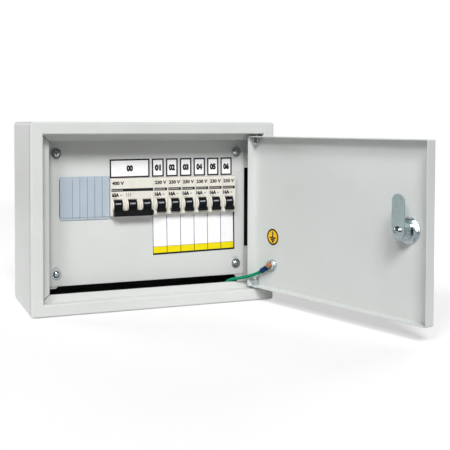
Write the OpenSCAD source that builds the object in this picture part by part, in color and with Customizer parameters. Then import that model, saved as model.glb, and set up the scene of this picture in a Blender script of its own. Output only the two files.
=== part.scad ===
// Wall-mounted breaker panel box with its door open: a folded steel enclosure, a false panel over
// a row of rail-mounted breakers, and a locking door that is bonded to the box by an earth wire.
// Origin at the centre of the back face, +X right, +Y into the wall, +Z up, millimetres.

/* [Enclosure] */
// Width of the box
box_w = 300; // [270:1:360]
// Height of the box
box_h = 220; // [212:1:300]
// Depth of the box
box_d = 120; // [114:1:160]
// Thickness of the sheet steel
sheet = 1; // [0.8:0.1:1.4]
// Radius of the long folds that run from front to back
corner_r = 4; // [3:0.5:6]
// Outer radius of the folds around the front face, the back and the door
fold_r = 2; // [1.8:0.1:2.4]
// Depth of the front frame's outer rim
rim_d = 8; // [5:0.5:12]
// Width of the front frame around the door opening
frame_w = 14; // [12:0.5:18]
// Depth of the ledge behind the front face
step_d = 16; // [16:0.5:20]
// Width of the ledge at the sides of the opening
ledge_w = 9.5; // [7:0.5:11]
// Width of the ledge above and below the opening
ledge_h = 8; // [6:0.5:10]
// Width of the open mitres at the ledge's corners
mitre_gap = 0.8; // [0.4:0.1:1.2]
// Outer radius of the fold from the front face into the opening
mouth_r = 1.5; // [1:0.1:1.8]

/* [Wall and cable entries] */
// Diameter of the wall fixing holes
wall_hole_d = 7; // [5:0.5:9]
// Distance of the wall holes from the box's sides
wall_inset_x = 25; // [20:1:30]
// Distance of the wall holes from the box's top and bottom
wall_inset_z = 30; // [20:1:40]
// Diameter of the cable knock-outs in the top and bottom
entry_d = 28; // [20:1:34]
// Distance between knock-outs
entry_pitch = 80; // [50:1:100]
// Width and depth of the scored ring around a knock-out
entry_groove = 0.6; // [0.4:0.1:0.7]

/* [False panel] */
// Depth of the panel's face behind the front of the box
panel_depth = 36; // [34:0.5:42]
// Thickness of the panel
panel_t = 1; // [0.8:0.1:1.5]
// Gap between the panel and the ledge at each side
panel_gap_x = 0.5; // [0.5:0.1:2]
// Gap between the panel and the ledge at top and bottom
panel_gap_z = 2.8; // [2:0.1:5]
// Distance of the panel's middle above the middle of the box
panel_lift = 2.4; // [0:0.1:3]
// Distance of the panel screws from the panel's sides
screw_inset_x = 11.5; // [9:0.5:13]
// Distance of the panel screws from the panel's top and bottom
screw_inset_z = 14.2; // [10:0.1:18]
// Thread diameter of the panel screws
screw_d = 5; // [4:0.5:6]
// Diameter of the washers under the panel screws
washer_d = 11.8; // [11:0.2:14]
// Width of the slotted holes in the panel
slot_w = 8; // [7:0.5:9]
// Reach of a slotted hole towards the panel's middle
slot_reach = 8.5; // [7:0.5:11]
// Thickness of the corner brackets behind the panel
bracket_t = 1.5; // [1:0.1:2.5]

/* [Breakers] */
// Width of one breaker pole on the rail
module_w = 18; // [17.5:0.1:18.5]
// Distance of the row's middle right of the middle of the box
row_shift = 0.5; // [-2:0.5:2]
// Gap between neighbouring breakers
module_play = 0.3; // [0.2:0.1:0.6]
// Height of the rail's middle above the middle of the box
rail_z = 20; // [0:0.5:22]
// Height of a breaker's case behind the panel
case_h = 81; // [78:1:90]
// Height of a breaker's nose in the window
nose_h = 45; // [44:0.5:48]
// Distance from the rail to a breaker's shoulders
shoulder_u = 44; // [42:0.5:48]
// Distance from a breaker's shoulders to its nose
nose_u = 8; // [6:0.5:10]
// Distance of the lever's pivot behind the nose
pivot_in = 5; // [4.5:0.1:5.5]
// Distance of the lever's pivot below the rail's middle
pivot_drop = 10; // [6:0.5:11]
// Radius of the lever's drum
drum_r = 7.5; // [7:0.1:8]
// Width of the lever
lever_w = 10.6; // [9:0.2:11]
// Radius that the lever's handle reaches
lever_reach = 12.6; // [12.4:0.2:14]
// Angle of the lever above and below level
lever_half = 42; // [36:1:44]

/* [Rail] */
// Height of the mounting rail
rail_h = 35; // [35:1:35]
// Outer height of the rail's channel
rail_hat = 27; // [26:0.5:28]
// Depth of the rail
rail_d = 7.5; // [7:0.5:10]
// Thickness of the rail
rail_t = 1; // [0.8:0.1:1.5]

/* [Door] */
// Angle that the door stands open
door_angle = 106; // [0:1:108]
// Gap beside the door
door_gap = 1.5; // [1.4:0.1:2]
// Gap above and below the door
door_gap_z = 3; // [2:0.5:4]
// Depth of the door's folded edge
door_t = 13; // [10:0.5:13]
// Distance of the hinge axis from the door's edge
pin_in = 6.5; // [6:0.1:6.8]
// Distance of the hinge axis behind the door's face
pin_back = 5.5; // [5.2:0.1:5.8]
// Diameter of the hinge pins
pin_d = 5; // [4:0.5:5]

/* [Lock] */
// Distance of the lock from the door's free edge
lock_in = 31; // [24:1:36]
// Diameter of the lock's barrel
barrel_d = 19; // [17:0.5:20]
// Distance across the flats of the barrel
barrel_flats = 16.5; // [14:0.5:16.5]
// Diameter of the lock's core
core_d = 12; // [10:0.5:13]
// Length of the cam above the lock's axis
cam_l = 38; // [32:0.5:40]
// Width of the cam
cam_w = 15.2; // [14:0.2:18]
// Thickness of the cam
cam_t = 2; // [1.5:0.1:3]

/* [Earth bonding] */
// Diameter of the earth studs
stud_d = 6; // [5:0.5:6]
// Distance of the door's stud from the hinged edge
stud_in = 35; // [30:1:40]
// Distance of the door's stud above the door's lower edge
stud_up = 30; // [25:1:40]
// Diameter of the earth wire
wire_d = 4; // [3:0.5:4]
// Diameter of the crimp sleeves
sleeve_d = 6.2; // [5:0.2:7]

/* [Hidden] */
$fn = 64;
MAIN_POLES = 3;
BRANCHES = 6;

// Clearances shared by the pieces
run_clear = 0.05;
part_clear = 0.3;
snug_clear = 0.15;
overcut = 1;

// Planes of the enclosure, front to back
front_y = -box_d;
ledge_y = front_y + step_d;
ledge_back_y = ledge_y + sheet;
rim_y = front_y + rim_d;
back_y = -sheet;
inner_x = box_w / 2 - sheet;
inner_z = box_h / 2 - sheet;
open_x = box_w / 2 - frame_w;
open_z = box_h / 2 - frame_w;
ledge_x = open_x - ledge_w;
ledge_z = open_z - ledge_h;

// Places of the false panel and its screws
panel_y = front_y + panel_depth;
panel_back_y = panel_y + panel_t;
panel_x = ledge_x - panel_gap_x;
panel_z = ledge_z - panel_gap_z;
screw_x = panel_x - screw_inset_x;
screw_z = panel_z - screw_inset_z;
washer_t = 1;
screw_head_d = 8.4;
screw_head_h = 2.8;
screw_l = 9;
head_dome = 1.15;
recess_l = 0.55;
recess_w = 0.13;
shank_sink = 0.2;
bracket_in = 5.5;
bracket_down = 21;
bracket_up = 17;
bracket_chamfer = 6;
bracket_flange = 22;

// Row of modules: breakers on the right, and as many half-module blanks as the panel has room for
strip_end = 14.6;
strip_pitch = module_w / 2;
window_margin = 13;
breakers_w = (MAIN_POLES + BRANCHES) * module_w;
half_blanks = floor((2 * (panel_x - window_margin) - breakers_w - strip_end) / strip_pitch);
blank_w = strip_end + half_blanks * strip_pitch;
row_w = blank_w + breakers_w;
window_play = 0.5;
window_gap = 0.25;
window_half = nose_h / 2 + window_gap;
row_x = row_shift - row_w / 2;
breakers_x = row_x + blank_w;
pole_w = module_w - module_play;

// Depth of the breakers: distances u run forward from the rail's face
shoulder_gap = 0.5;
rail_y = panel_back_y + shoulder_gap + shoulder_u;
nose_front = shoulder_u + nose_u;
foot_u = 4;
case_half = case_h / 2;
case_chamfer = 3;
nose_chamfer = 1;
hook_u = rail_t + part_clear;
hook_over = 2.2;
hook_v = rail_h / 2 - hook_over;
rail_half = rail_h / 2 + part_clear;
pivot_u = nose_front - pivot_in;
pocket_w = lever_w + 2 * part_clear;
cheek_wall = 1.1;
cheek_r = drum_r + cheek_wall;
cheek_side = 1.4;
cheek_w = pocket_w + 2 * cheek_side;
trunnion_r = 1.5;
trunnion_out = 2;
trunnion_l = lever_w + 2 * trunnion_out;
pocket_relief = 1.2;
handle_t = 4.2;
handle_flare = 0.5;
flare_gap = 0.2;
flare_start = cheek_r + flare_gap;
flare_run = 1.2;
flare_end = flare_start + flare_run;
tie_t = 7;
tie_r = 1.8;
tie_gap = 0.45;
tie_in = (pivot_in + tie_gap + tie_t / 2 * sin(lever_half)) / cos(lever_half);
tie_cover = 3.2;
tie_over = 0.9;
tie_out = lever_reach + tie_cover;
tie_l = (MAIN_POLES - 1) * module_w + lever_w + 2 * tie_over;

// Terminals of a pole and the rail clip
entry_w = 7;
entry_u = [23.5, 31.5];
entry_deep = 12;
terminal_in = 8.5;
terminal_v = case_half - terminal_in;
terminal_r = 3;
terminal_screw_r = 2.9;
terminal_screw_u = [31.6, 38];
driver_slot = 0.8;
clip_w = 8;
clip_rear = 0.1;
clip_u = [-foot_u + clip_rear, -hook_u];
clip_tail = 6.5;
clip_tip = 2.1;
clip_bevel = [1, 1.6];
clip_side = 0.25;
clip_eye = [4, 2.5];
clip_eye_up = 3;

// Comb busbar under the breakers, one comb for each pole of the main breaker
comb_u = 22;
comb_pitch = 3.5;
comb_t = 1.2;
comb_below = 7.5;
comb_top = case_half + comb_below;
comb_h = 9;
comb_bridge_below = 3.5;
comb_bridge = case_half + comb_bridge_below;
comb_bridge_t = 1;
comb_pin = [4, 1.5];
comb_pin_u = terminal_screw_u[0] - part_clear - comb_pin[1];
comb_pin_in = 10.5;
comb_pin_v = case_half - comb_pin_in;
comb_skin = 1.4;
comb_cover = 1;

// Rail fittings
rail_end = 4;
rail_l = row_w + 2 * rail_end;
rail_slot = [15, 6.2];
rail_slot_pitch = 25;
rail_land = 3;
rail_slots = floor((rail_l / 2 - rail_slot[0] / 2 - rail_land) / rail_slot_pitch);
rail_bracket_w = 18;
rail_bracket_x = rail_slots * rail_slot_pitch;
rail_bracket_hat = 34;
rail_bracket_span = 64;

// Neutral and earth bars on the back wall
BAR_HOLES = 12;
bar_pitch = 8;
bar_end = 7;
bar_l = BAR_HOLES * bar_pitch + 2 * bar_end;
bar_d = 9;
bar_h = 7;
bar_stand = 21;
bar_back_y = back_y - bar_stand;
bar_hole_r = 2.2;
bar_hole_back = 1;
bar_screw_r = 1.9;
bar_screw_l = 3.5;
bar_screw_out = 1;
driver_slot_in = 0.6;
earth_up = 26;
earth_z = earth_up - inner_z;
bar_apart = 24;
neutral_z = earth_z + bar_apart;
bar_post_in = 5;
bar_post_x = bar_l / 2 - bar_post_in;
bar_post_w = 12;
bar_post_half = 6;
bar_foot_half = 9;
bar_foot_t = 3;
bar_jaw = 4;
bar_jaw_t = 2.5;
bar_jaw_root = 2;

// Blanking strip in the window
strip_lip = 3;
strip_t = 1;
strip_raise = 0.6;
strip_leg_t = 1.2;
strip_hook = 1;
strip_hook_l = 0.85;
strip_hook_slope = 1;
strip_groove = [0.5, 0.5];

// Door closed, before it is swung open about its pins
door_x = open_x - door_gap;
door_z = open_z - door_gap_z;
door_back_y = front_y + door_t;
door_in_y = front_y + sheet;
door_corner_r = 1.6;
hinge_x = door_x - pin_in;
hinge_y = front_y + pin_back;
pin_r = pin_d / 2;
pin_reach = 1.5;
pin_head_r = 3.6;
pin_head_h = 7;
pin_cap_r = 2.7;
pin_cap_h = 1.6;
pin_cap_edge = 1;
pin_neck_r = 2;
pin_neck_h = 0.6;

// Lock: its axis runs along Y while the door is closed
lock_x = -door_x + lock_in;
barrel_r = barrel_d / 2;
lock_face_rim = 2;
lock_face_d = barrel_d + 2 * lock_face_rim;
lock_face_t = 2.2;
cam_gap = 0.4;
cam_y = ledge_back_y + cam_gap;
barrel_short = 0.2;
barrel_end_y = cam_y - barrel_short;
core_r = core_d / 2;
core_sunk = 0.3;
core_face_y = front_y - lock_face_t + core_sunk;
key_slot = [1.8, 7, 5];
tang_w = 7;
tang_clear = 0.1;
tang_short = 0.2;
lock_washer_rim = 4.5;
lock_washer_d = barrel_d + 2 * lock_washer_rim;
lock_washer_t = 1;
lock_nut_wall = 1.5;
lock_nut_af = barrel_d + 2 * lock_nut_wall;
lock_nut_t = 5;
nut_chamfer = 30;
cam_tip_flat = 0.4;
cam_tip_r = cam_w / 2 + cam_tip_flat;
cam_screw_r = 2;
cam_screw_l = 7;
cam_screw_head = [11, 3.4];

// Earth studs, each with a stack of washer, lug, washer and nut
stud_r = stud_d / 2;
stud_l = 10;
stack_washer_d = 2 * stud_d;
stack_washer_t = 1.2;
lug_t = 1;
lug_ring_r = stud_d;
lug_neck_w = 4.6;
stack_nut_af = 10;
stack_nut_t = 4;
sleeve_in = 9;
sleeve_l = 11;
sleeve_r = sleeve_d / 2;
lug_play = 0.2;
lug_hole_r = stud_r + lug_play;
sleeve_h = stack_washer_t + sleeve_r;
door_stud_x = door_x - stud_in;
door_stud_z = -door_z + stud_up;
door_lug_turn = -30;
body_stud_x = 46;
body_stud_back = 7.5;
body_stud_y = ledge_back_y + body_stud_back;
body_lug_turn = 0;

// Earth wire: it runs straight out of both sleeves, and over the lower ledge between them
WIRE_SIDES = 10;
sleeve_end = sleeve_in + sleeve_l;
wire_lead = 2;
wire_mid = [
    [129.5, -121, -75.5], [128, -119, -76.5], [126, -117.5, -77.7], [119, -114, -80.2],
    [112.5, -110.5, -81.8], [106, -107, -82.8], [99.5, -103.5, -83.7], [97.5, -102, -84.6],
    [95.3, -101, -86], [93.4, -100.4, -87.7], [90.2, -99.4, -91.5], [87, -98.2, -95.5],
    [83.7, -97, -99.4], [81, -96.3, -101.8], [77.7, -95.8, -103.6], [73.5, -95.5, -104.5]
];

// Point of the open door that lies at a given place of the closed door
function open_turn(v) = [
    v[0] * cos(door_angle) - v[1] * sin(door_angle),
    v[0] * sin(door_angle) + v[1] * cos(door_angle),
    v[2]
];
function open_point(p) = [hinge_x, hinge_y, 0] + open_turn(p - [hinge_x, hinge_y, 0]);

door_wire_dir = open_turn([cos(door_lug_turn), 0, sin(door_lug_turn)]);
door_wire_start = open_point([
    door_stud_x + sleeve_end * cos(door_lug_turn),
    door_in_y + sleeve_h,
    door_stud_z + sleeve_end * sin(door_lug_turn)
]);
body_wire_dir = [cos(body_lug_turn), sin(body_lug_turn), 0];
body_wire_end = [body_stud_x, body_stud_y, -inner_z + sleeve_h] + sleeve_end * body_wire_dir;
wire_path = concat(
    [door_wire_start, door_wire_start + wire_lead * door_wire_dir],
    wire_mid,
    [body_wire_end + wire_lead * body_wire_dir, body_wire_end]
);

function unit(v) = v / norm(v);
function wire_tangent(i) = unit(wire_path[min(i + 1, len(wire_path) - 1)] - wire_path[max(i - 1, 0)]);
function wire_ring(i) =
    let (t = wire_tangent(i), side = unit(cross(t, [0, 0, 1])), top = cross(side, t))
    [for (k = [0:WIRE_SIDES - 1]) wire_path[i]
        + wire_d / 2 * (cos(360 * k / WIRE_SIDES) * side + sin(360 * k / WIRE_SIDES) * top)];

// Middle of a pole, counted from the main breaker's left pole
function pole_x(i) = breakers_x + (i + 0.5) * module_w;

// Extrusions of a profile drawn in the plane across the given axis
module along_x(x0, x1) translate([x0, 0, 0]) rotate([90, 0, 90]) linear_extrude(x1 - x0) children();
module along_y(y0, y1) translate([0, y1, 0]) rotate([90, 0, 0]) linear_extrude(y1 - y0) children();
module along_z(z0, z1) translate([0, 0, z0]) linear_extrude(z1 - z0) children();

// Round rod or hole along Y
module rod_y(x, z, r, y0, y1) translate([x, y1, z]) rotate([90, 0, 0]) cylinder(r = r, h = y1 - y0);

module rounded_rect(w, h, r) {
    square([w - 2 * r, h], center = true);
    square([w, h - 2 * r], center = true);
    for (sx = [-1, 1], sz = [-1, 1]) translate([sx * (w / 2 - r), sz * (h / 2 - r)]) circle(r);
}

module slot_shape(l, w) {
    square([l - w, w], center = true);
    for (s = [-1, 1]) translate([s * (l - w) / 2, 0]) circle(w / 2);
}

// Depth profile whose two front corners are folded to a radius
module folded_profile(front, back, span, r) {
    translate([front + r, -span / 2]) square([back - front - r, span]);
    translate([front, -span / 2 + r]) square([back - front, span - 2 * r]);
    for (s = [-1, 1]) translate([front + r, s * (span / 2 - r)]) circle(r);
}

// Block with rounded long edges and folds around its front
module folded_block(w, h, front, back, corner, fold) intersection() {
    along_y(front, back) rounded_rect(w, h, corner);
    along_x(-w / 2, w / 2) folded_profile(front, back, h, fold);
    along_z(-h / 2, h / 2) mirror([1, -1, 0]) folded_profile(front, back, w, fold);
}

// Depth profile of an opening whose front edges flare out along a fold
module mouth_profile(front, back, half, r) {
    translate([front - overcut, -half]) square([back - front + overcut, 2 * half]);
    difference() {
        translate([front - overcut, -half - r]) square([overcut + r, 2 * (half + r)]);
        for (s = [-1, 1]) translate([front + r, s * (half + r)]) circle(r);
    }
}

module mouth(half_x, half_z, front, back, r) intersection() {
    along_x(-half_x - 2 * r, half_x + 2 * r) mouth_profile(front, back, half_z, r);
    along_z(-half_z - 2 * r, half_z + 2 * r) mirror([1, -1, 0])
        mouth_profile(front, back, half_x, r);
}

// Profile from its upper half, repeated below the middle
module mirrored_profile(half)
    polygon(concat(half, [for (i = [len(half) - 1:-1:0]) [half[i][0], -half[i][1]]]));

// Hat-shaped strip profile: flanges at depth 0, channel reaching back
module hat_profile(span, hat, depth, t) mirrored_profile([
    [depth - t, hat / 2 - t], [0, hat / 2 - t], [0, span / 2], [t, span / 2], [t, hat / 2], [depth, hat / 2]
]);

// Screw along Z with a domed cross-recess head above z = 0 and its shank below
module pan_screw(head_d, head_h, shank_r, shank_l) {
    dome = head_dome * (head_d * head_d / 4 + head_h * head_h) / (2 * head_h);
    difference() {
        intersection() {
            cylinder(d = head_d, h = head_h);
            translate([0, 0, head_h - dome]) sphere(dome);
        }
        for (a = [0, 90]) rotate(a) translate([0, 0, head_h])
            cube([head_d * recess_l, head_d * recess_w, head_h], center = true);
    }
    translate([0, 0, -shank_l]) cylinder(r = shank_r, h = shank_l + head_h * shank_sink);
}

module m_screw() pan_screw(screw_head_d, screw_head_h, screw_d / 2, screw_l);

module ring(outer_r, inner_r, t) difference() {
    cylinder(r = outer_r, h = t);
    translate([0, 0, -overcut]) cylinder(r = inner_r, h = t + 2 * overcut);
}

// Hexagon nut with its corners chamfered on both faces
module hex_nut(af, bore_r, t) {
    corner_r = af / sqrt(3);
    drop = (corner_r - af / 2) * tan(nut_chamfer);
    difference() {
        intersection() {
            cylinder(r = corner_r, h = t, $fn = 6);
            rotate_extrude() polygon([
                [0, 0], [af / 2, 0], [corner_r, drop], [corner_r, t - drop], [af / 2, t], [0, t]
            ]);
        }
        translate([0, 0, -overcut]) cylinder(r = bore_r, h = t + 2 * overcut);
    }
}

// Places of the four panel corners
module at_corners() for (sx = [0, 1], sz = [0, 1])
    translate([0, 0, panel_lift]) mirror([sx, 0, 0]) mirror([0, 0, sz]) children();

// Local frames: forward of the rail, at a lever's pivot, on the swung door
module from_rail() translate([rail_y, rail_z]) mirror([1, 0]) children();
module at_pivot(i) translate([pole_x(i), rail_y - pivot_u, rail_z - pivot_drop]) children();
module lever_down() rotate([lever_half, 0, 0]) children();
module on_door()
    translate([hinge_x, hinge_y, 0]) rotate(door_angle) translate([-hinge_x, -hinge_y, 0]) children();
module at_door_stud() translate([door_stud_x, door_in_y, door_stud_z]) rotate([-90, 0, 0]) children();
module at_body_stud() translate([body_stud_x, body_stud_y, -inner_z]) children();

module enclosure_body() color([0.84, 0.85, 0.84]) difference() {
    mirror([0, 1, 0]) folded_block(box_w, box_h, 0, -rim_y, corner_r, fold_r);
    mirror([0, 1, 0]) folded_block(box_w - 2 * sheet, box_h - 2 * sheet, sheet, -rim_y + overcut,
        corner_r - sheet, fold_r - sheet);
    for (sx = [-1, 1], sz = [-1, 1])
        rod_y(sx * (box_w / 2 - wall_inset_x), sz * (box_h / 2 - wall_inset_z), wall_hole_d / 2,
            -2 * sheet, sheet);
    for (i = [-1:1], s = [0, 1]) mirror([0, 0, s])
        translate([i * entry_pitch, -box_d / 2, box_h / 2 - entry_groove])
            ring(entry_d / 2, entry_d / 2 - entry_groove, sheet);
}

module front_frame() color([0.85, 0.86, 0.85]) difference() {
    union() {
        difference() {
            folded_block(box_w, box_h, front_y, rim_y, corner_r, fold_r);
            along_y(front_y + sheet, rim_y + overcut)
                rounded_rect(2 * inner_x, 2 * inner_z, corner_r - sheet);
        }
        along_y(front_y + sheet / 2, ledge_back_y)
            square([2 * (open_x + sheet), 2 * (open_z + sheet)], center = true);
    }
    mouth(open_x, open_z, front_y, ledge_y, mouth_r);
    along_y(ledge_y - overcut, ledge_back_y + overcut) square([2 * ledge_x, 2 * ledge_z], center = true);
    for (sx = [-1, 1], sz = [-1, 1])
        translate([sx * (open_x - ledge_w / 2), ledge_y + overcut, sz * (open_z - ledge_h / 2)])
            rotate([0, -atan2(ledge_h, ledge_w) * sx * sz, 0])
                cube([norm([ledge_w, ledge_h]), 2 * overcut + sheet, mitre_gap], center = true);
    translate([hinge_x, hinge_y, -box_h / 2]) cylinder(r = pin_r + run_clear, h = box_h);
}

module panel_brackets() color([0.8, 0.81, 0.8]) at_corners() {
    inner_end = screw_x - bracket_in;
    low = screw_z - bracket_down;
    high = screw_z + bracket_up;
    notch_z = rail_z + case_half + shoulder_gap - panel_lift;
    difference() {
        along_y(panel_back_y, panel_back_y + bracket_t) polygon([
            [inner_end, low], [inner_x, low], [inner_x, high], [inner_end + bracket_chamfer, high],
            [inner_end, high - bracket_chamfer]
        ]);
        rod_y(screw_x, screw_z, screw_d / 2 + run_clear, panel_y, panel_back_y + 2 * bracket_t);
        translate([0, panel_y, 0]) cube([row_x + row_w + part_clear, panel_t + 2 * bracket_t, notch_z]);
    }
    translate([inner_x - bracket_t, panel_back_y, low]) cube([bracket_t, bracket_flange, high - low]);
}

module false_panel() color([0.84, 0.85, 0.84]) along_y(panel_y, panel_back_y) difference() {
    translate([0, panel_lift]) rounded_rect(2 * panel_x, 2 * panel_z, panel_t);
    translate([row_x - window_play, rail_z - window_half])
        square([row_w + 2 * window_play, 2 * window_half]);
    for (sx = [-1, 1], sz = [-1, 1])
        translate([sx * screw_x, panel_lift + sz * (screw_z - (slot_reach - slot_w / 2) / 2)])
            rotate(90) slot_shape(slot_reach + slot_w / 2, slot_w);
}

// Alike screws of the panel's corners and of the rail
module pan_screws() color([0.75, 0.77, 0.78]) {
    at_corners() translate([screw_x, panel_y - washer_t, screw_z]) rotate([90, 0, 0]) m_screw();
    for (s = [-1, 1]) translate([s * rail_bracket_x, rail_y + rail_d - rail_t, rail_z])
        rotate([90, 0, 0]) m_screw();
}

module panel_washers() color([0.72, 0.74, 0.75]) at_corners()
    translate([screw_x, panel_y, screw_z]) rotate([90, 0, 0])
        ring(washer_d / 2, screw_d / 2 + snug_clear, washer_t);

module blanking_strip() color([0.69, 0.75, 0.8]) {
    leg = window_half - snug_clear;
    face = strip_t + strip_raise;
    nose_y = panel_t + snug_clear;
    hook_end = nose_y + strip_hook_l;
    tip_y = hook_end + strip_hook_slope;
    difference() {
        along_x(row_x, breakers_x - part_clear) translate([panel_y, rail_z]) mirrored_profile([
            [-face, leg], [-strip_t, leg], [-strip_t, leg + strip_lip], [0, leg + strip_lip], [0, leg],
            [nose_y, leg], [nose_y, leg + strip_hook], [hook_end, leg + strip_hook], [tip_y, leg],
            [tip_y, leg - strip_leg_t], [0, leg - strip_leg_t]
        ]);
        for (i = [0:half_blanks - 1]) translate([
            row_x + strip_end + i * strip_pitch - strip_groove[0] / 2,
            panel_y - face - overcut,
            rail_z - window_half - strip_lip
        ]) cube([strip_groove[0], overcut + strip_groove[1] + strip_raise, 2 * (window_half + strip_lip)]);
    }
}

module din_rail() color([0.78, 0.79, 0.8]) difference() {
    along_x(-rail_l / 2, rail_l / 2) translate([rail_y, rail_z])
        hat_profile(rail_h, rail_hat, rail_d, rail_t);
    for (i = [-rail_slots:rail_slots]) translate([i * rail_slot_pitch, 0, rail_z])
        along_y(rail_y + rail_t, rail_y + rail_d + overcut) slot_shape(rail_slot[0], rail_slot[1]);
}

module rail_brackets() color([0.75, 0.76, 0.77]) for (s = [-1, 1]) difference() {
    along_x(s * rail_bracket_x - rail_bracket_w / 2, s * rail_bracket_x + rail_bracket_w / 2)
        translate([back_y, rail_z]) mirror([1, 0])
            hat_profile(rail_bracket_span, rail_bracket_hat, back_y - rail_y - rail_d, bracket_t);
    rod_y(s * rail_bracket_x, rail_z, screw_d / 2 + run_clear,
        rail_y + rail_d - overcut, rail_y + rail_d + 2 * bracket_t);
}

// Side outline of a breaker case: the nose, two terminal shoulders and the hook over the rail
module case_outline() polygon([
    [-foot_u, -case_half], [shoulder_u - case_chamfer, -case_half], [shoulder_u, case_chamfer - case_half],
    [shoulder_u, -nose_h / 2], [nose_front - nose_chamfer, -nose_h / 2],
    [nose_front, nose_chamfer - nose_h / 2], [nose_front, nose_h / 2 - nose_chamfer],
    [nose_front - nose_chamfer, nose_h / 2], [shoulder_u, nose_h / 2],
    [shoulder_u, case_half - case_chamfer], [shoulder_u - case_chamfer, case_half], [-foot_u, case_half],
    [-foot_u, hook_v], [-hook_u, hook_v], [-hook_u, rail_half],
    [0, rail_half], [0, -rail_half], [-foot_u, -rail_half]
]);

// Case of one or more poles side by side
module breaker_case(first, poles) difference() {
    union() {
        along_x(pole_x(first) - pole_w / 2, pole_x(first + poles - 1) + pole_w / 2)
            from_rail() case_outline();
        for (i = [first:first + poles - 1])
            at_pivot(i) rotate([0, 90, 0]) cylinder(r = cheek_r, h = cheek_w, center = true);
    }
    for (i = [first:first + poles - 1]) {
        at_pivot(i) rotate([0, 90, 0]) {
            cylinder(r = drum_r + part_clear, h = pocket_w, center = true);
            cylinder(r = trunnion_r + run_clear, h = trunnion_l + 2 * snug_clear, center = true);
        }
        at_pivot(i) translate([-pocket_w / 2, -pivot_in - cheek_r, -drum_r - part_clear])
            cube([pocket_w, cheek_r + pocket_relief, 2 * (drum_r + part_clear)]);
        along_x(pole_x(i) - clip_w / 2 - clip_side, pole_x(i) + clip_w / 2 + clip_side) from_rail()
            translate([-foot_u - overcut, -case_half - overcut])
                square([foot_u + overcut + clip_u[1] + clip_side, case_half - rail_half + 2 * overcut]);
        for (s = [0, 1]) {
            along_x(pole_x(i) - entry_w / 2, pole_x(i) + entry_w / 2) from_rail() mirror([0, s])
                translate([entry_u[0], case_half - entry_deep])
                    square([entry_u[1] - entry_u[0], entry_deep + overcut]);
            rod_y(pole_x(i), rail_z + (s == 0 ? 1 : -1) * terminal_v, terminal_r,
                rail_y - shoulder_u - overcut, rail_y - entry_u[1] + overcut);
        }
    }
}

// Lever built level, then turned down to its stop; the flare widens the handle at its tip
module breaker_lever(i, flare) at_pivot(i) lever_down() {
    tip_r = handle_t / 2;
    half = lever_w / 2;
    rotate([0, 90, 0]) cylinder(r = drum_r, h = lever_w, center = true);
    rotate([0, 90, 0]) cylinder(r = trunnion_r, h = trunnion_l, center = true);
    along_z(-tip_r, tip_r) polygon([
        [-half, 0], [-half, -flare_start], [-half - flare, -flare_end], [-half - flare, tip_r - lever_reach],
        [half + flare, tip_r - lever_reach], [half + flare, -flare_end], [half, -flare_start], [half, 0]
    ]);
    translate([0, tip_r - lever_reach, 0]) intersection() {
        rotate([0, 90, 0]) cylinder(r = tip_r, h = lever_w + 2 * flare, center = true);
        translate([-lever_w, -lever_reach, -tip_r]) cube([2 * lever_w, lever_reach, 2 * tip_r]);
    }
}

module rail_clip(i) difference() {
    along_x(pole_x(i) - clip_w / 2, pole_x(i) + clip_w / 2) from_rail() polygon([
        [clip_u[1], -case_half - clip_tail], [clip_u[0], -case_half - clip_tail],
        [clip_u[0], clip_tip - clip_bevel[1] - rail_h / 2],
        [clip_u[0] + clip_bevel[0], clip_tip - rail_h / 2], [clip_u[1], clip_tip - rail_h / 2]
    ]);
    translate([pole_x(i), rail_y, rail_z - case_half - clip_tail + clip_eye_up])
        cube([clip_eye[0], 4 * foot_u, clip_eye[1]], center = true);
}

module main_case() color([0.91, 0.89, 0.84]) breaker_case(0, MAIN_POLES);
module main_levers() color([0.08, 0.08, 0.09]) for (i = [0:MAIN_POLES - 1]) breaker_lever(i, 0);
module main_clip(n) color([0.2, 0.2, 0.22]) rail_clip(n - 1);
module branch_case(n) color([0.91, 0.89, 0.84]) breaker_case(MAIN_POLES + n - 1, 1);
module branch_lever(n) color([0.08, 0.08, 0.09]) breaker_lever(MAIN_POLES + n - 1, handle_flare);
module branch_clip(n) color([0.2, 0.2, 0.22]) rail_clip(MAIN_POLES + n - 1);

// Bar that caps the main breaker's three handles
module main_tie_bar() color([0.07, 0.07, 0.08]) at_pivot((MAIN_POLES - 1) / 2) lever_down() difference() {
    slot_x = lever_w + 2 * snug_clear;
    slot_z = handle_t + 2 * snug_clear;
    along_x(-tie_l / 2, tie_l / 2) translate([-(tie_in + tie_out) / 2, 0])
        rounded_rect(tie_out - tie_in, tie_t, tie_r);
    for (i = [0:MAIN_POLES - 1]) translate([
        (i - (MAIN_POLES - 1) / 2) * module_w - slot_x / 2,
        -lever_reach - snug_clear,
        -slot_z / 2
    ]) cube([slot_x, lever_reach, slot_z]);
}

module terminal_screws() color([0.74, 0.76, 0.77]) for (i = [0:MAIN_POLES + BRANCHES - 1], s = [-1, 1])
    difference() {
        rod_y(pole_x(i), rail_z + s * terminal_v, terminal_screw_r,
            rail_y - terminal_screw_u[1], rail_y - terminal_screw_u[0]);
        translate([pole_x(i), rail_y - terminal_screw_u[1], rail_z + s * terminal_v])
            cube([2 * terminal_r, 2 * overcut, driver_slot], center = true);
    }

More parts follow.
